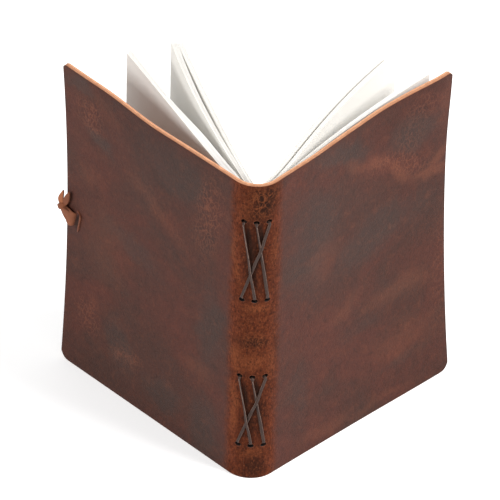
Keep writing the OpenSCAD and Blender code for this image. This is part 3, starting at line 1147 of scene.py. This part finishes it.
    def _lips(self) -> list[bpy.types.Object]:
        """The low ridges that the awl has raised round the holes."""
        lips = []
        rng = np.random.default_rng(SEED + len(self.columns))
        for column in self.columns:
            turn = column * HIDE.column_turn
            out = Vector((math.sin(turn), -math.cos(turn), 0))
            for z in HIDE.rows:
                radius = HIDE.spine_radius + HIDE.thickness / 2 - self.lip_sink
                clear_selection()
                bpy.ops.mesh.primitive_torus_add(
                    major_segments=28,
                    minor_segments=8,
                    major_radius=self.hole_radius + self.lip_gap,
                    minor_radius=self.lip_radius,
                    location=Vector((0, HIDE.spine_radius, z)) + out * radius,
                    rotation=out.to_track_quat("Z", "Y").to_euler(),
                )
                lip = name_new("lip")
                lip.scale = self.hole_stretch
                bpy.ops.object.transform_apply(location=True, rotation=True, scale=True)
                points = points_of(lip)
                set_points(lip, points + rng.normal(0, self.lip_rough, points.shape))
                give(lip, self.finishes, [GRAIN])
                lips.append(lip)
        if self.side is Side.BACK:
            lips.append(SLIT_LIP.build([self.finishes[TORN]] * 3))
        return lips

    def _slit_tool(self) -> bpy.types.Object:
        """A blade that leans its top towards the spine, at the strap's slit."""
        u = HIDE.cover_width - self.slit_inset
        z = HIDE.height / 2 - self.slit_drop
        lift = float(HIDE.lift(np.array([-HIDE.half_spine - u]), np.array([z]))[0])
        along, inward = HIDE.along(self.side), HIDE.inward(self.side)
        clear_selection()
        bpy.ops.mesh.primitive_cube_add(size=1)
        tool = name_new("blade")
        turn = Matrix((along, inward, Vector((0, 0, 1)))).transposed()
        lean = Matrix.Rotation(-self.slit_tilt, 3, "Y")
        size = Matrix.Diagonal(Vector(self.slit_size))
        tool.data.transform((turn @ lean @ size).to_4x4())
        centre = HIDE.hinge(self.side) + along * u + inward * lift
        centre.z = z
        tool.data.transform(Matrix.Translation(centre))
        return tool

    def _round_edges(self, piece: bpy.types.Object) -> None:
        """Round the cut edges, apart from the hidden seam in the middle of the spine."""
        seam = HIDE.spine_radius * self.seam_turn
        across = HIDE.unfold(points_of(piece))[:, 0]
        take(piece)
        bpy.ops.object.mode_set(mode="EDIT")
        bpy.ops.mesh.select_mode(type="EDGE")
        bpy.ops.mesh.select_all(action="DESELECT")
        bpy.ops.mesh.edges_select_sharp(sharpness=math.radians(55))
        bpy.ops.object.mode_set(mode="OBJECT")
        for edge in piece.data.edges:
            if edge.select and all(abs(across[v] - seam) < 0.3 * MM for v in edge.vertices):
                edge.select = False
        bpy.ops.object.mode_set(mode="EDIT")
        bpy.ops.mesh.bevel(offset=self.edge_round, segments=2, profile=0.6, affect="EDGES")
        bpy.ops.object.mode_set(mode="OBJECT")

    def dress(self, piece: bpy.types.Object) -> None:
        """Bake the half's placement into its mesh, and hide the CAD spine and cover that it stands for.

        Args:
            piece: The finished mesh.
        """
        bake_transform(piece)
        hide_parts("spine", self.side.body)


# Pages


@dataclass(frozen=True)
class Lean:
    """How a half signature leans, as shares of the cover angle."""

    near: float
    far: float
    curl: float = 0
    swing: float = 0


@dataclass
class HalfSignature:
    """One half of a folded signature: a stack of leaves from the fold to the fore-edge."""

    name: str
    column: int
    side: Side
    lean: Lean
    mate: Lean
    leaf_side: int
    carry: float
    node: str
    leaves: int = 9
    height: float = 168 * MM
    rise: float = 5 * MM
    width: float = 119 * MM
    fold_stack: float = 1.65 * MM
    edge_stack: float = 2.1 * MM
    puff: float = 0
    creep: float = 1 * MM
    sheet_share: float = 0.94
    thread_room: float = 0.7 * MM
    fold_radius: float = 9.45 * MM
    steps: int = 26
    arc_steps: int = 6
    levels: int = 5

    def _heading(self, lean: Lean, s: np.ndarray) -> np.ndarray:
        """Heading of a half signature at a distance from its fold."""
        settle, swing = np.exp(-s / (9 * MM)), s / (7 * MM)
        share = lean.far + (lean.near - lean.far) * settle
        share = share + lean.curl * (s / self.width) ** 1.2
        share = share + lean.swing * swing * np.exp(1 - swing)
        return HIDE.cover_angle * share

    def build(self) -> bpy.types.Object:
        """Model the leaves one by one and join them.

        Returns:
            The finished stack.
        """
        turn = self.column * HIDE.column_turn
        fold = np.array([
            self.fold_radius * math.sin(turn),
            HIDE.spine_radius - self.fold_radius * math.cos(turn),
        ])
        steps = self.steps
        cut = self.width * (np.arange(steps + 1) / steps) ** 1.15
        mid = self._heading(self.lean, (cut[1:] + cut[:-1]) / 2)
        run = np.diff(cut)[:, None] * np.stack([np.sin(mid), np.cos(mid)], -1)
        path = fold + np.concatenate([[[0, 0]], np.cumsum(run, 0)])
        heading = self._heading(self.lean, cut)
        own = self._heading(self.lean, np.zeros(1))[0]
        other = self._heading(self.mate, np.zeros(1))[0]
        back = self._arc(own, other)
        points, faces, places = [], [], []
        rng = np.random.default_rng(SEED + hash_name(self.name))
        for leaf in range(self.leaves):
            wobble = rng.normal(0, 1, 4)
            rows = self._leaf(leaf, path, heading, cut, fold, back, wobble)
            start = sum(len(p) for p in points)
            points.append(rows[0])
            places.append(rows[1])
            faces += [tuple(start + v for v in f) for f in rows[2]]
        piece = mesh_piece(self.name, np.concatenate(points), faces)
        write_place(piece, np.concatenate(places))
        recalculate(piece)
        smooth(piece, 40)
        STANCE.settle(piece)
        return piece

    def _arc(self, own: float, other: float) -> np.ndarray:
        """Directions from the fold round its back, from its middle to this half's face."""
        quarter, three = math.pi / 2, 3 * math.pi / 2
        face, far = (quarter, three) if self.leaf_side > 0 else (three, quarter)
        face, far = own + face, other + far
        middle = (face + far) / 2
        angles = np.linspace(middle, face, self.arc_steps, endpoint=False)
        return np.stack([np.sin(angles), np.cos(angles)], -1)

    def _leaf(self, leaf: int, path: np.ndarray, heading: np.ndarray, cut: np.ndarray,
              fold: np.ndarray, back: np.ndarray, wobble: np.ndarray) -> tuple:
        """One leaf of the stack.

        Args:
            leaf: Its number, from the inside out.
            path: Plan points of the inner face of the stack.
            heading: Heading at each of those points.
            cut: Distance from the fold of each point.
            fold: The centre of the fold.
            back: Directions round the back of the fold.
            wobble: Four random numbers for its trim and wave.

        Returns:
            Its points, its places and its faces.
        """
        share = np.concatenate([np.zeros(len(back)), cut / self.width])
        stack = self.fold_stack + (self.edge_stack - self.fold_stack) * share
        out = np.concatenate([np.zeros(len(back)), cut])
        inside = self.thread_room * np.exp(-(out / (3 * MM)) ** 2)
        inside = inside - self.puff * ease(out / (14 * MM)) * ease(2 - out / (40 * MM))
        pitch = (stack - inside) / self.leaves
        middle = inside + pitch * (leaf + 0.5)
        half = pitch * self.sheet_share / 2
        normal = self.leaf_side * np.stack([np.cos(heading), -np.sin(heading)], -1)
        base = np.concatenate([np.repeat(fold[None], len(back), 0), path])
        normal = np.concatenate([back, normal])
        trim = self.creep * (leaf + 0.5) / self.leaves + 0.12 * MM * wobble[0]
        ahead = np.stack([np.sin(heading[-1]), np.cos(heading[-1])])
        wave = 0.04 * MM * np.sin(share * 5 + wobble[1] * 3)[:, None] * normal
        levels = np.linspace(0, 1, self.levels)
        rows, places = [], []
        for level in levels:
            z = self.rise + self.height * level + (0.1 * MM * wobble[2] if level > 0 else 0)
            for offset in (-1, 1):
                xy = base + normal * (middle + offset * half)[:, None] + wave * level
                xy = xy - ahead * trim * ease((share - 0.8) / 0.2)[:, None]
                rows.append(np.column_stack([xy, np.full(len(xy), z)]))
                depth = np.full(len(xy), (leaf + 0.5 * offset) * 0.3 * MM)
                places.append(np.column_stack([share * self.width, depth, np.full(len(xy), z)]))
        count = len(base)
        faces = []
        for k in range(self.levels - 1):
            low_in, low_out = 2 * k * count, (2 * k + 1) * count
            up_in, up_out = low_in + 2 * count, low_out + 2 * count
            for i in range(count - 1):
                faces.append((low_in + i, low_in + i + 1, up_in + i + 1, up_in + i))
                faces.append((low_out + i + 1, low_out + i, up_out + i, up_out + i + 1))
            for i in (0, count - 1):
                faces.append((low_in + i, up_in + i, up_out + i, low_out + i))
        top = 2 * (self.levels - 1) * count
        for i in range(count - 1):
            faces.append((i, count + i, count + i + 1, i + 1))
            faces.append((top + i, top + i + 1, top + count + i + 1, top + count + i))
        return np.concatenate(rows), np.concatenate(places), faces

    def dress(self, piece: bpy.types.Object, paper: bpy.types.Material) -> None:
        """Give the leaves their paper, bake their placement into the mesh, and hide the CAD signature.

        Args:
            piece: The finished stack.
            paper: The paper's material.
        """
        piece.data.materials.append(paper)
        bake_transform(piece)
        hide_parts(self.node)


def hash_name(name: str) -> int:
    """A small number that depends only on a name."""
    return sum((i + 1) * ord(c) for i, c in enumerate(name))


LEANS = {
    "outer_left": Lean(-1.005, -0.581, -0.052, -0.035),
    "inner_left": Lean(-0.55, -0.536, 0.249, 0.037),
    "middle_left": Lean(-0.527, -0.414, 0.063, -0.04),
    "middle_right": Lean(0.62, 0.53, 0.28, 0.12),
    "inner_right": Lean(1.1, 0.56, 0.254),
    "outer_right": Lean(0.999, 0.874, 0.093, -0.054),
}


def half_signatures() -> list[HalfSignature]:
    """The six half signatures, from left to right."""
    rows = (
        ("outer_left", -1, Side.BACK, "inner_left", -1, 0.655, "left_signature", 3.1, 2.0),
        ("inner_left", -1, Side.BACK, "outer_left", 1, 0.40, "left_signature", 2.8, 0),
        ("middle_left", 0, Side.BACK, "middle_right", -1, 0.44, "middle_signature", 2.9, 0),
        ("middle_right", 0, Side.FRONT, "middle_left", 1, 0.60, "middle_signature", 2.5, 0),
        ("inner_right", 1, Side.FRONT, "outer_right", -1, 0.60, "right_signature", 2.3, 0),
        ("outer_right", 1, Side.FRONT, "inner_right", 1, 0.88, "right_signature", 2.7, 0),
    )
    return [
        HalfSignature(
            f"pages_{name}", column, side, LEANS[name], LEANS[mate], way, carry, node,
            edge_stack=stack * MM, puff=puff * MM,
        )
        for name, column, side, mate, way, carry, node, stack, puff in rows
    ]


# Sewing


@dataclass
class StitchGroup:
    """One closed loop of flat waxed thread through six holes."""

    node: str
    tail: float
    head: float
    width: float = 1.5 * MM
    flat: float = 0.8 * MM
    outside: float = 14.3 * MM
    inside: float = 9.45 * MM
    bend: float = 0.8 * MM
    cross_lift: float = 1.05 * MM
    run_steps: int = 40
    bend_steps: int = 6
    sides: int = 14

    def _leg(self, a: int, b: int, over: float, twist: tuple[float, float]) -> list[tuple]:
        """One leg of the loop.

        Args:
            a: Column of the head hole that it leaves.
            b: Column of the tail hole that it enters.
            over: Share of the way at which it climbs over another leg, or 0.
            twist: How edge-on the flat thread stands at the head and at the tail.

        Returns:
            Rows of radius, turn, height, and twist.
        """
        rows = []
        drop = self.head - self.tail - 2 * self.bend
        for i in range(self.run_steps + 1):
            f = i / self.run_steps
            near = abs(f - over) / 0.2 if over else 1
            lift = self.cross_lift * math.cos(math.pi / 2 * near) ** 2 if near < 1 else 0
            turn = (a + (b - a) * f) * HIDE.column_turn
            roll = twist[0] + (twist[1] - twist[0]) * f
            rows.append((self.outside + lift, turn, self.head - self.bend - drop * f, roll))
        turn = b * HIDE.column_turn
        quarter = [math.pi / 2 * (i + 1) / self.bend_steps for i in range(self.bend_steps)]
        bow = self.bend
        for q in quarter:
            rows.append((self.outside - bow * (1 - math.cos(q)), turn,
                         self.tail + bow * (1 - math.sin(q)), twist[1]))
        for q in [0.0] + quarter:
            rows.append((self.inside + bow * (1 - math.sin(q)), turn,
                         self.tail + bow * (1 - math.cos(q)), twist[1]))
        for q in quarter[::-1] + [0.0]:
            rows.append((self.inside + bow * (1 - math.sin(q)), turn,
                         self.head - bow * (1 - math.cos(q)), twist[1]))
        for q in quarter[::-1]:
            rows.append((self.outside - bow * (1 - math.cos(q)), turn,
                         self.head - bow * (1 - math.sin(q)), twist[1]))
        return rows

    def build(self) -> bpy.types.Object:
        """Sweep the flat thread round its loop.

        Returns:
            The finished thread.
        """
        loop = np.array(
            self._leg(-1, 0, 2 / 3, (1.5, 0.1))
            + self._leg(0, 1, 0, (1.3, 0.1))
            + self._leg(1, -1, 1 / 3, (0.0, 0.25))
        )
        r, turn, z, roll = loop.T
        line = np.column_stack([r * np.sin(turn), HIDE.spine_radius - r * np.cos(turn), z])
        ahead = np.roll(line, -1, 0) - np.roll(line, 1, 0)
        ahead /= np.linalg.norm(ahead, axis=1)[:, None]
        side = np.column_stack([np.cos(turn), np.sin(turn), np.zeros(len(turn))])
        side -= (side * ahead).sum(1)[:, None] * ahead
        side /= np.linalg.norm(side, axis=1)[:, None]
        up = np.cross(ahead, side)
        gone = np.concatenate([[0], np.cumsum(np.linalg.norm(np.diff(line, axis=0), axis=1))])
        rng = np.random.default_rng(SEED)
        uneven = 1 + 0.05 * np.interp(gone, gone[::9], rng.normal(0, 1, len(gone[::9])))
        points, places = [], []
        for k in range(self.sides):
            a = 2 * math.pi * k / self.sides
            w, t = math.cos(a) * self.width / 2, math.sin(a) * self.flat / 2
            across = w * np.cos(roll) - t * np.sin(roll)
            rise = w * np.sin(roll) + t * np.cos(roll)
            points.append(line + side * (across * uneven)[:, None] + up * (rise * uneven)[:, None])
            around = np.full(len(gone), a * self.width / 3)
            edge = np.full(len(gone), math.cos(2 * a) * MM)
            places.append(np.column_stack([gone, around, edge]))
        stacked = np.stack(points, 1).reshape(-1, 3)
        piece = mesh_piece(
            self.node + "_strands", stacked, grid_faces(len(line), self.sides, True, True)
        )
        write_place(piece, np.stack(places, 1).reshape(-1, 3))
        recalculate(piece)
        smooth(piece, 60)
        STANCE.settle(piece)
        return piece

    def dress(self, piece: bpy.types.Object, finish: bpy.types.Material) -> None:
        """Give the thread its wax, and fix it to the spine."""
        piece.data.materials.append(finish)
        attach(piece, "spine")
        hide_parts(self.node)


# Strap


Station = tuple[tuple[float, float, float], tuple[float, float, float], float, float]


@dataclass
class Ribbon:
    """A strip of leather through stations on the back cover, in mm of the cover's frame.

    Each station has its centre and the direction of its width, both as distance from the
    hinge line, distance out from the middle of the leather and height, then its half width
    and its thickness.
    """

    name: str
    stations: tuple[Station, ...]
    closed: bool = False
    grain_up: bool = True
    steps: int = 7
    sides: int = 20

    def build(self, finishes: list[bpy.types.Material]) -> bpy.types.Object:
        """Sweep the strip through its stations.

        Args:
            finishes: Grain, flesh and cut edge materials, in that order.

        Returns:
            The strip in the folded frame, before it leans.
        """
        rows = np.array([[*c, *d, w, t] for c, d, w, t in self.stations], float)
        rows = self._smooth(rows)
        centre, wide = rows[:, :3], rows[:, 3:6]
        wide /= np.linalg.norm(wide, axis=1)[:, None]
        if self.closed:
            ahead = np.roll(centre, -1, 0) - np.roll(centre, 1, 0)
        else:
            ahead = np.gradient(centre, axis=0)
        thin = np.cross(ahead, wide)
        thin /= np.linalg.norm(thin, axis=1)[:, None]
        gone = np.concatenate([[0], np.cumsum(np.linalg.norm(np.diff(centre, axis=0), axis=1))])
        points, places = [], []
        for k in range(self.sides):
            a = 2 * math.pi * (k + 0.5) / self.sides
            c, s = math.cos(a), math.sin(a)
            w = math.copysign(abs(c) ** 0.45, c) * rows[:, 6]
            t = math.copysign(abs(s) ** 0.8, s) * rows[:, 7] / 2
            points.append(centre + wide * w[:, None] + thin * t[:, None])
            places.append(np.column_stack([gone, t, w]) * MM)
        mesh = np.stack(points, 1).reshape(-1, 3)
        hide = np.column_stack([
            -(HIDE.half_spine + mesh[:, 0] * MM), -mesh[:, 1] * MM, mesh[:, 2] * MM
        ])
        hide[:, 1] += HIDE.lift(hide[:, 0], hide[:, 2])
        faces = grid_faces(len(centre), self.sides, self.closed, True)
        index = [self._slot(k) for k in range(self.sides)] * (len(faces) // self.sides)
        if not self.closed:
            last = (len(centre) - 1) * self.sides
            faces.append(tuple(range(self.sides)))
            faces.append(tuple(last + k for k in range(self.sides - 1, -1, -1)))
            index += [RAW, RAW]
        piece = mesh_piece(self.name, HIDE.fold(hide), faces)
        write_place(piece, np.stack(places, 1).reshape(-1, 3))
        give(piece, finishes, index)
        recalculate(piece)
        return piece

    def _slot(self, k: int) -> int:
        """Material slot of one strip of faces: grain, flesh or cut edge."""
        a = 2 * math.pi * (k + 1) / self.sides
        if abs(math.cos(a)) > 0.88:
            return RAW
        return GRAIN if (math.sin(a) < 0) == self.grain_up else FLESH

    def _smooth(self, rows: np.ndarray) -> np.ndarray:
        """Draw a smooth curve through the stations."""
        n = len(rows)
        count = n if self.closed else n - 1
        out = []
        for i in range(count):
            pick = [(i + k) % n if self.closed else min(max(i + k, 0), n - 1) for k in range(-1, 3)]
            a, b, c, d = rows[pick]
            for f in np.arange(self.steps) / self.steps:
                bend = (2 * a - 5 * b + 4 * c - d) * f**2 + (-a + 3 * b - 3 * c + d) * f**3
                out.append(0.5 * (2 * b + (c - a) * f + bend))
        if not self.closed:
            out.append(rows[-1])
        return np.array(out)


SLIT_LIP = Ribbon(
    "slit_lip",
    (
        ((111.9, 0.9, 78.6), (1, 0, 0.3), 0.3, 0.5),
        ((111.2, 1.3, 80.0), (1, 0, 0.2), 0.5, 0.9),
        ((110.5, 1.5, 82.4), (1, 0, 0.26), 0.6, 1.1),
        ((109.9, 1.55, 85.2), (1, 0, 0.26), 0.55, 1.1),
        ((109.3, 1.6, 88.0), (1, 0, 0.26), 0.6, 1.2),
        ((109.2, 1.5, 90.0), (0.95, 0, 0.35), 0.6, 1.2),
        ((110.0, 1.5, 91.3), (0.5, 0, 0.85), 0.55, 1.1),
        ((111.6, 1.3, 91.6), (0.1, 0, 1), 0.4, 0.8),
    ),
)
STRAP_RIBBONS = (
    Ribbon(
        "strap_loop",
        (
            ((113.9, 0.2, 85.2), (-0.26, 0, 0.966), 4.5, 1.1),
            ((114.0, 1.5, 85.2), (-0.26, 0, 0.966), 4.6, 1.2),
            ((114.9, 2.4, 85.4), (-0.2, 0, 0.98), 4.8, 1.4),
            ((117.2, 2.6, 85.7), (-0.03, 0.02, 1), 5.1, 1.5),
            ((119.9, 2.0, 86.4), (0.12, 0.08, 1), 4.6, 1.5),
            ((121.1, 0.5, 86.7), (0.10, 0.05, 1), 4.3, 1.5),
            ((120.7, -1.4, 86.4), (0.05, 0, 1), 4.3, 1.5),
            ((118.6, -2.4, 86.0), (-0.05, 0, 1), 4.4, 1.5),
            ((115.6, -2.3, 85.5), (-0.2, 0, 0.98), 4.4, 1.4),
            ((114.0, -1.4, 85.2), (-0.26, 0, 0.966), 4.4, 1.1),
        ),
        closed=True,
    ),
    Ribbon(
        "strap_gather",
        (
            ((115.6, 2.4, 86.8), (-0.45, 0, 0.9), 2.2, 0.9),
            ((117.6, 3.1, 87.8), (-0.5, 0.1, 0.85), 2.7, 1.4),
            ((119.6, 3.5, 88.9), (-0.55, 0.2, 0.8), 2.3, 1.9),
            ((121.2, 3.4, 90.1), (-0.6, 0.2, 0.75), 1.8, 2.2),
            ((122.1, 3.0, 91.2), (-0.6, 0.2, 0.7), 1.6, 2.0),
        ),
    ),
    Ribbon(
        "strap_under_fold",
        (
            ((118.6, 2.6, 83.6), (-0.5, 0.1, 0.85), 1.0, 0.9),
            ((120.3, 2.6, 85.6), (-0.55, 0.15, 0.8), 1.3, 1.3),
            ((121.6, 2.6, 88.0), (-0.7, 0.2, 0.6), 1.3, 1.5),
            ((122.2, 2.4, 90.0), (-0.7, 0.2, 0.5), 1.1, 1.3),
        ),
    ),
    Ribbon(
        "strap_knot",
        (
            ((119.7, 2.4, 91.8), (0.75, 0.1, 0.66), 1.1, 1.3),
            ((120.2, 3.9, 91.1), (0.75, 0.1, 0.66), 1.3, 1.4),
            ((121.5, 4.5, 90.0), (0.72, -0.1, 0.68), 1.4, 1.4),
            ((122.8, 3.6, 88.9), (0.7, -0.2, 0.66), 1.3, 1.4),
            ((122.8, 1.9, 88.6), (0.7, -0.1, 0.66), 1.2, 1.3),
            ((121.6, 1.2, 89.6), (0.72, 0, 0.68), 1.2, 1.3),
            ((120.2, 1.3, 90.9), (0.75, 0, 0.66), 1.1, 1.3),
        ),
        closed=True,
    ),
    Ribbon(
        "strap_long_tip",
        (
            ((120.6, 3.1, 89.3), (1, 0, 0.35), 1.1, 1.2),
            ((121.4, 3.4, 91.0), (1, 0.1, 0.3), 1.5, 1.3),
            ((121.9, 3.4, 93.2), (1, 0.15, 0.1), 1.6, 1.3),
            ((121.6, 3.2, 95.6), (1, 0.15, -0.1), 1.4, 1.3),
            ((121.1, 2.9, 97.6), (1, 0.15, -0.2), 0.9, 1.2),
            ((120.8, 2.7, 99.2), (1, 0.15, -0.2), 0.3, 0.8),
        ),
    ),
    Ribbon(
        "strap_short_tip",
        (
            ((121.4, 2.3, 89.8), (1, 0, -0.3), 1.1, 1.2),
            ((119.9, 2.7, 91.8), (1, 0, 0.5), 1.4, 1.4),
            ((118.5, 2.9, 94.4), (1, 0.1, 0.5), 1.7, 1.4),
            ((117.3, 2.9, 97.2), (1, 0.1, 0.45), 1.5, 1.4),
            ((116.6, 2.8, 99.4), (1, 0.1, 0.4), 0.9, 1.2),
            ((116.2, 2.7, 101.0), (1, 0.1, 0.4), 0.3, 0.8),
        ),
        grain_up=False,
    ),
)


@dataclass
class Strap:
    """The short strap through the slit of the back cover, tied round its fore-edge."""

    finishes: list[bpy.types.Material]
    ribbons: tuple[Ribbon, ...] = STRAP_RIBBONS

    def build(self) -> bpy.types.Object:
        """Model its strips and join them.

        Returns:
            The finished strap.
        """
        piece = join([ribbon.build(self.finishes) for ribbon in self.ribbons], "strap_tied")
        smooth(piece, 50)
        STANCE.settle(piece)
        return piece

    def dress(self, piece: bpy.types.Object) -> None:
        """Fix the strap to the back cover, and hide the CAD strap."""
        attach(piece, "back_cover")
        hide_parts("strap")


# Studio


@dataclass(frozen=True)
class Studio:
    """Floor, soft lamps, pale surroundings and the camera."""

    floor_size: float = 6.0
    drop: float = 0.2 * MM
    lens: float = 1600
    elevation: float = math.radians(38)
    azimuth: float = math.radians(-0.22)
    roll: float = math.radians(1.233)
    distance: float = 10.578161
    aim: tuple[float, float, float] = (0, 55 * MM, 89 * MM)
    origin_in_view: tuple[float, float] = (0.149 * MM, -108.711 * MM)

    def camera(self) -> None:
        """Stand the camera where the photograph was taken from, on a long lens."""
        a, e, r = self.azimuth, self.elevation, self.roll
        right = Vector((math.cos(a), math.sin(a), 0))
        back = Vector((math.sin(a) * math.cos(e), -math.cos(a) * math.cos(e), math.sin(e)))
        up = back.cross(right)
        x = math.cos(r) * right + math.sin(r) * up
        y = -math.sin(r) * right + math.cos(r) * up
        aim = Vector(self.aim)
        aim += x * (-self.origin_in_view[0] - aim.dot(x))
        aim += y * (-self.origin_in_view[1] - aim.dot(y))
        data = bpy.data.cameras.new("camera")
        data.lens = self.lens
        data.clip_start, data.clip_end = 1, 40
        camera = bpy.data.objects.new("camera", data)
        bpy.context.scene.collection.objects.link(camera)
        turn = Matrix((x, y, back)).transposed()
        camera.matrix_world = Matrix.Translation(aim + back * self.distance) @ turn.to_4x4()
        bpy.context.scene.camera = camera

    def floor(self) -> None:
        """Lay the pale floor."""
        clear_selection()
        bpy.ops.mesh.primitive_plane_add(size=self.floor_size, location=(0, 0, -self.drop))
        floor = name_new("floor")
        bpy.ops.object.transform_apply(location=True, rotation=True, scale=True)
        material, n, shader = new_material("pale_floor")
        shader.inputs["Base Color"].default_value = (0.82, 0.82, 0.82, 1)
        shader.inputs["Roughness"].default_value = 0.9
        shader.inputs["Specular IOR Level"].default_value = 0.1
        path = n.add("ShaderNodeLightPath")
        seen = n.math("ADD", path.outputs["Is Camera Ray"], path.outputs["Is Glossy Ray"])
        seen = n.math("ADD", seen, path.outputs["Is Transmission Ray"], clamp=True)
        shader.inputs["Emission Color"].default_value = (1, 1, 1, 1)
        n.feed(shader.inputs["Emission Strength"], n.math("MULTIPLY", seen, 0.4))
        floor.data.materials.append(material)

    def lamp(self, name: str, place: tuple, size: float, power: float) -> None:
        """Hang one soft square lamp, aimed at the journal.

        Args:
            name: Name of the lamp.
            place: Where it hangs.
            size: Its side.
            power: Its power in watts.
        """
        data = bpy.data.lights.new(name, "AREA")
        data.size = size
        data.energy = power
        lamp = bpy.data.objects.new(name, data)
        bpy.context.scene.collection.objects.link(lamp)
        aim = Vector((0, 0.05, 0.08)) - Vector(place)
        lamp.matrix_world = Matrix.Translation(place) @ aim.to_track_quat("-Z", "Y").to_matrix().to_4x4()

    def world(self) -> None:
        """Surround the set with plain white light."""
        world = bpy.data.worlds.new("surround")
        world.use_nodes = True
        n = Nodes(world.node_tree)
        ground = world.node_tree.nodes["Background"]
        ground.inputs["Color"].default_value = (1, 1, 1, 1)
        ground.inputs["Strength"].default_value = 0.53
        white = n.add("ShaderNodeBackground")
        white.inputs["Color"].default_value = (1, 1, 1, 1)
        path = n.add("ShaderNodeLightPath")
        seen = n.math("ADD", path.outputs["Is Camera Ray"], path.outputs["Is Transmission Ray"],
                      clamp=True)
        mixed = n.add("ShaderNodeMixShader")
        n.feed(mixed.inputs[0], seen)
        n.feed(mixed.inputs[1], ground.outputs[0])
        n.feed(mixed.inputs[2], white.outputs[0])
        n.feed(world.node_tree.nodes["World Output"].inputs[0], mixed.outputs[0])
        bpy.context.scene.world = world

    def build(self) -> None:
        """Set up the whole studio."""
        self.camera()
        self.floor()
        self.world()
        self.lamp("lamp_left", (-1.55, -1.0, 1.15), 0.55, 22.5)
        self.lamp("lamp_right", (1.35, -0.5, 1.6), 0.8, 47)
        bpy.context.scene.view_settings.view_transform = "Standard"


def report(piece: bpy.types.Object) -> None:
    """Log that a piece is done, and its number of faces."""
    LOG.info("%s: %d faces", piece.name, len(piece.data.polygons))


def leather_finishes(effects: Effects) -> list[bpy.types.Material]:
    """Grain side, flesh side, cut edge, hole walls in painted shade and torn lip of the hide, in slot
    order.
    """
    # The walls of the sewing holes and of the strap's slit are coloured near black: painted shade inside
    # them.
    pierced = RawEdgeFinish(
        "leather_pierced", core=(0.012, 0.005, 0.003, 1), deep=(0.006, 0.003, 0.002, 1)
    )
    torn = RawEdgeFinish(
        "leather_torn_lip", core=(0.30, 0.085, 0.030, 1), deep=(0.09, 0.022, 0.008, 1)
    )
    sides = (GrainFinish(), FleshFinish(), RawEdgeFinish(), pierced, torn)
    return [finish.material(effects) for finish in sides]


def strap_finishes(effects: Effects) -> list[bpy.types.Material]:
    """Grain side, flesh side and cut edge of the strap, in slot order."""
    worn = FleshFinish(
        "strap_grain", base=(0.15, 0.042, 0.015, 1), nap=(0.25, 0.080, 0.033, 1)
    )
    suede = FleshFinish(
        "strap_flesh", base=(0.28, 0.088, 0.032, 1), nap=(0.42, 0.150, 0.062, 1)
    )
    cut = RawEdgeFinish(
        "strap_edge", core=(0.24, 0.070, 0.024, 1), deep=(0.07, 0.018, 0.006, 1)
    )
    return [finish.material(effects) for finish in (worn, suede, cut)]


def main() -> None:
    """Build the studio and every piece of the journal, in order."""
    logging.basicConfig(level=logging.INFO, format="%(message)s")
    Studio().build()
    effects = Effects()
    leather = leather_finishes(effects)
    for side, columns in ((Side.BACK, (-1,)), (Side.FRONT, (0, 1))):
        half = LeatherHalf(side, columns, leather)
        piece = half.build()
        half.dress(piece)
        report(piece)
    paper = PaperFinish().material(effects)
    for stack in half_signatures():
        piece = stack.build()
        stack.dress(piece, paper)
        report(piece)
    strap = Strap(strap_finishes(effects))
    piece = strap.build()
    strap.dress(piece)
    report(piece)
    thread = ThreadFinish().material(effects)
    for group in (
        StitchGroup("upper_thread", 109.65 * MM, 155.1 * MM),
        StitchGroup("lower_thread", 21.15 * MM, 61.1 * MM),
    ):
        piece = group.build()
        group.dress(piece, thread)
        report(piece)


if __name__ == "__main__":
    main()
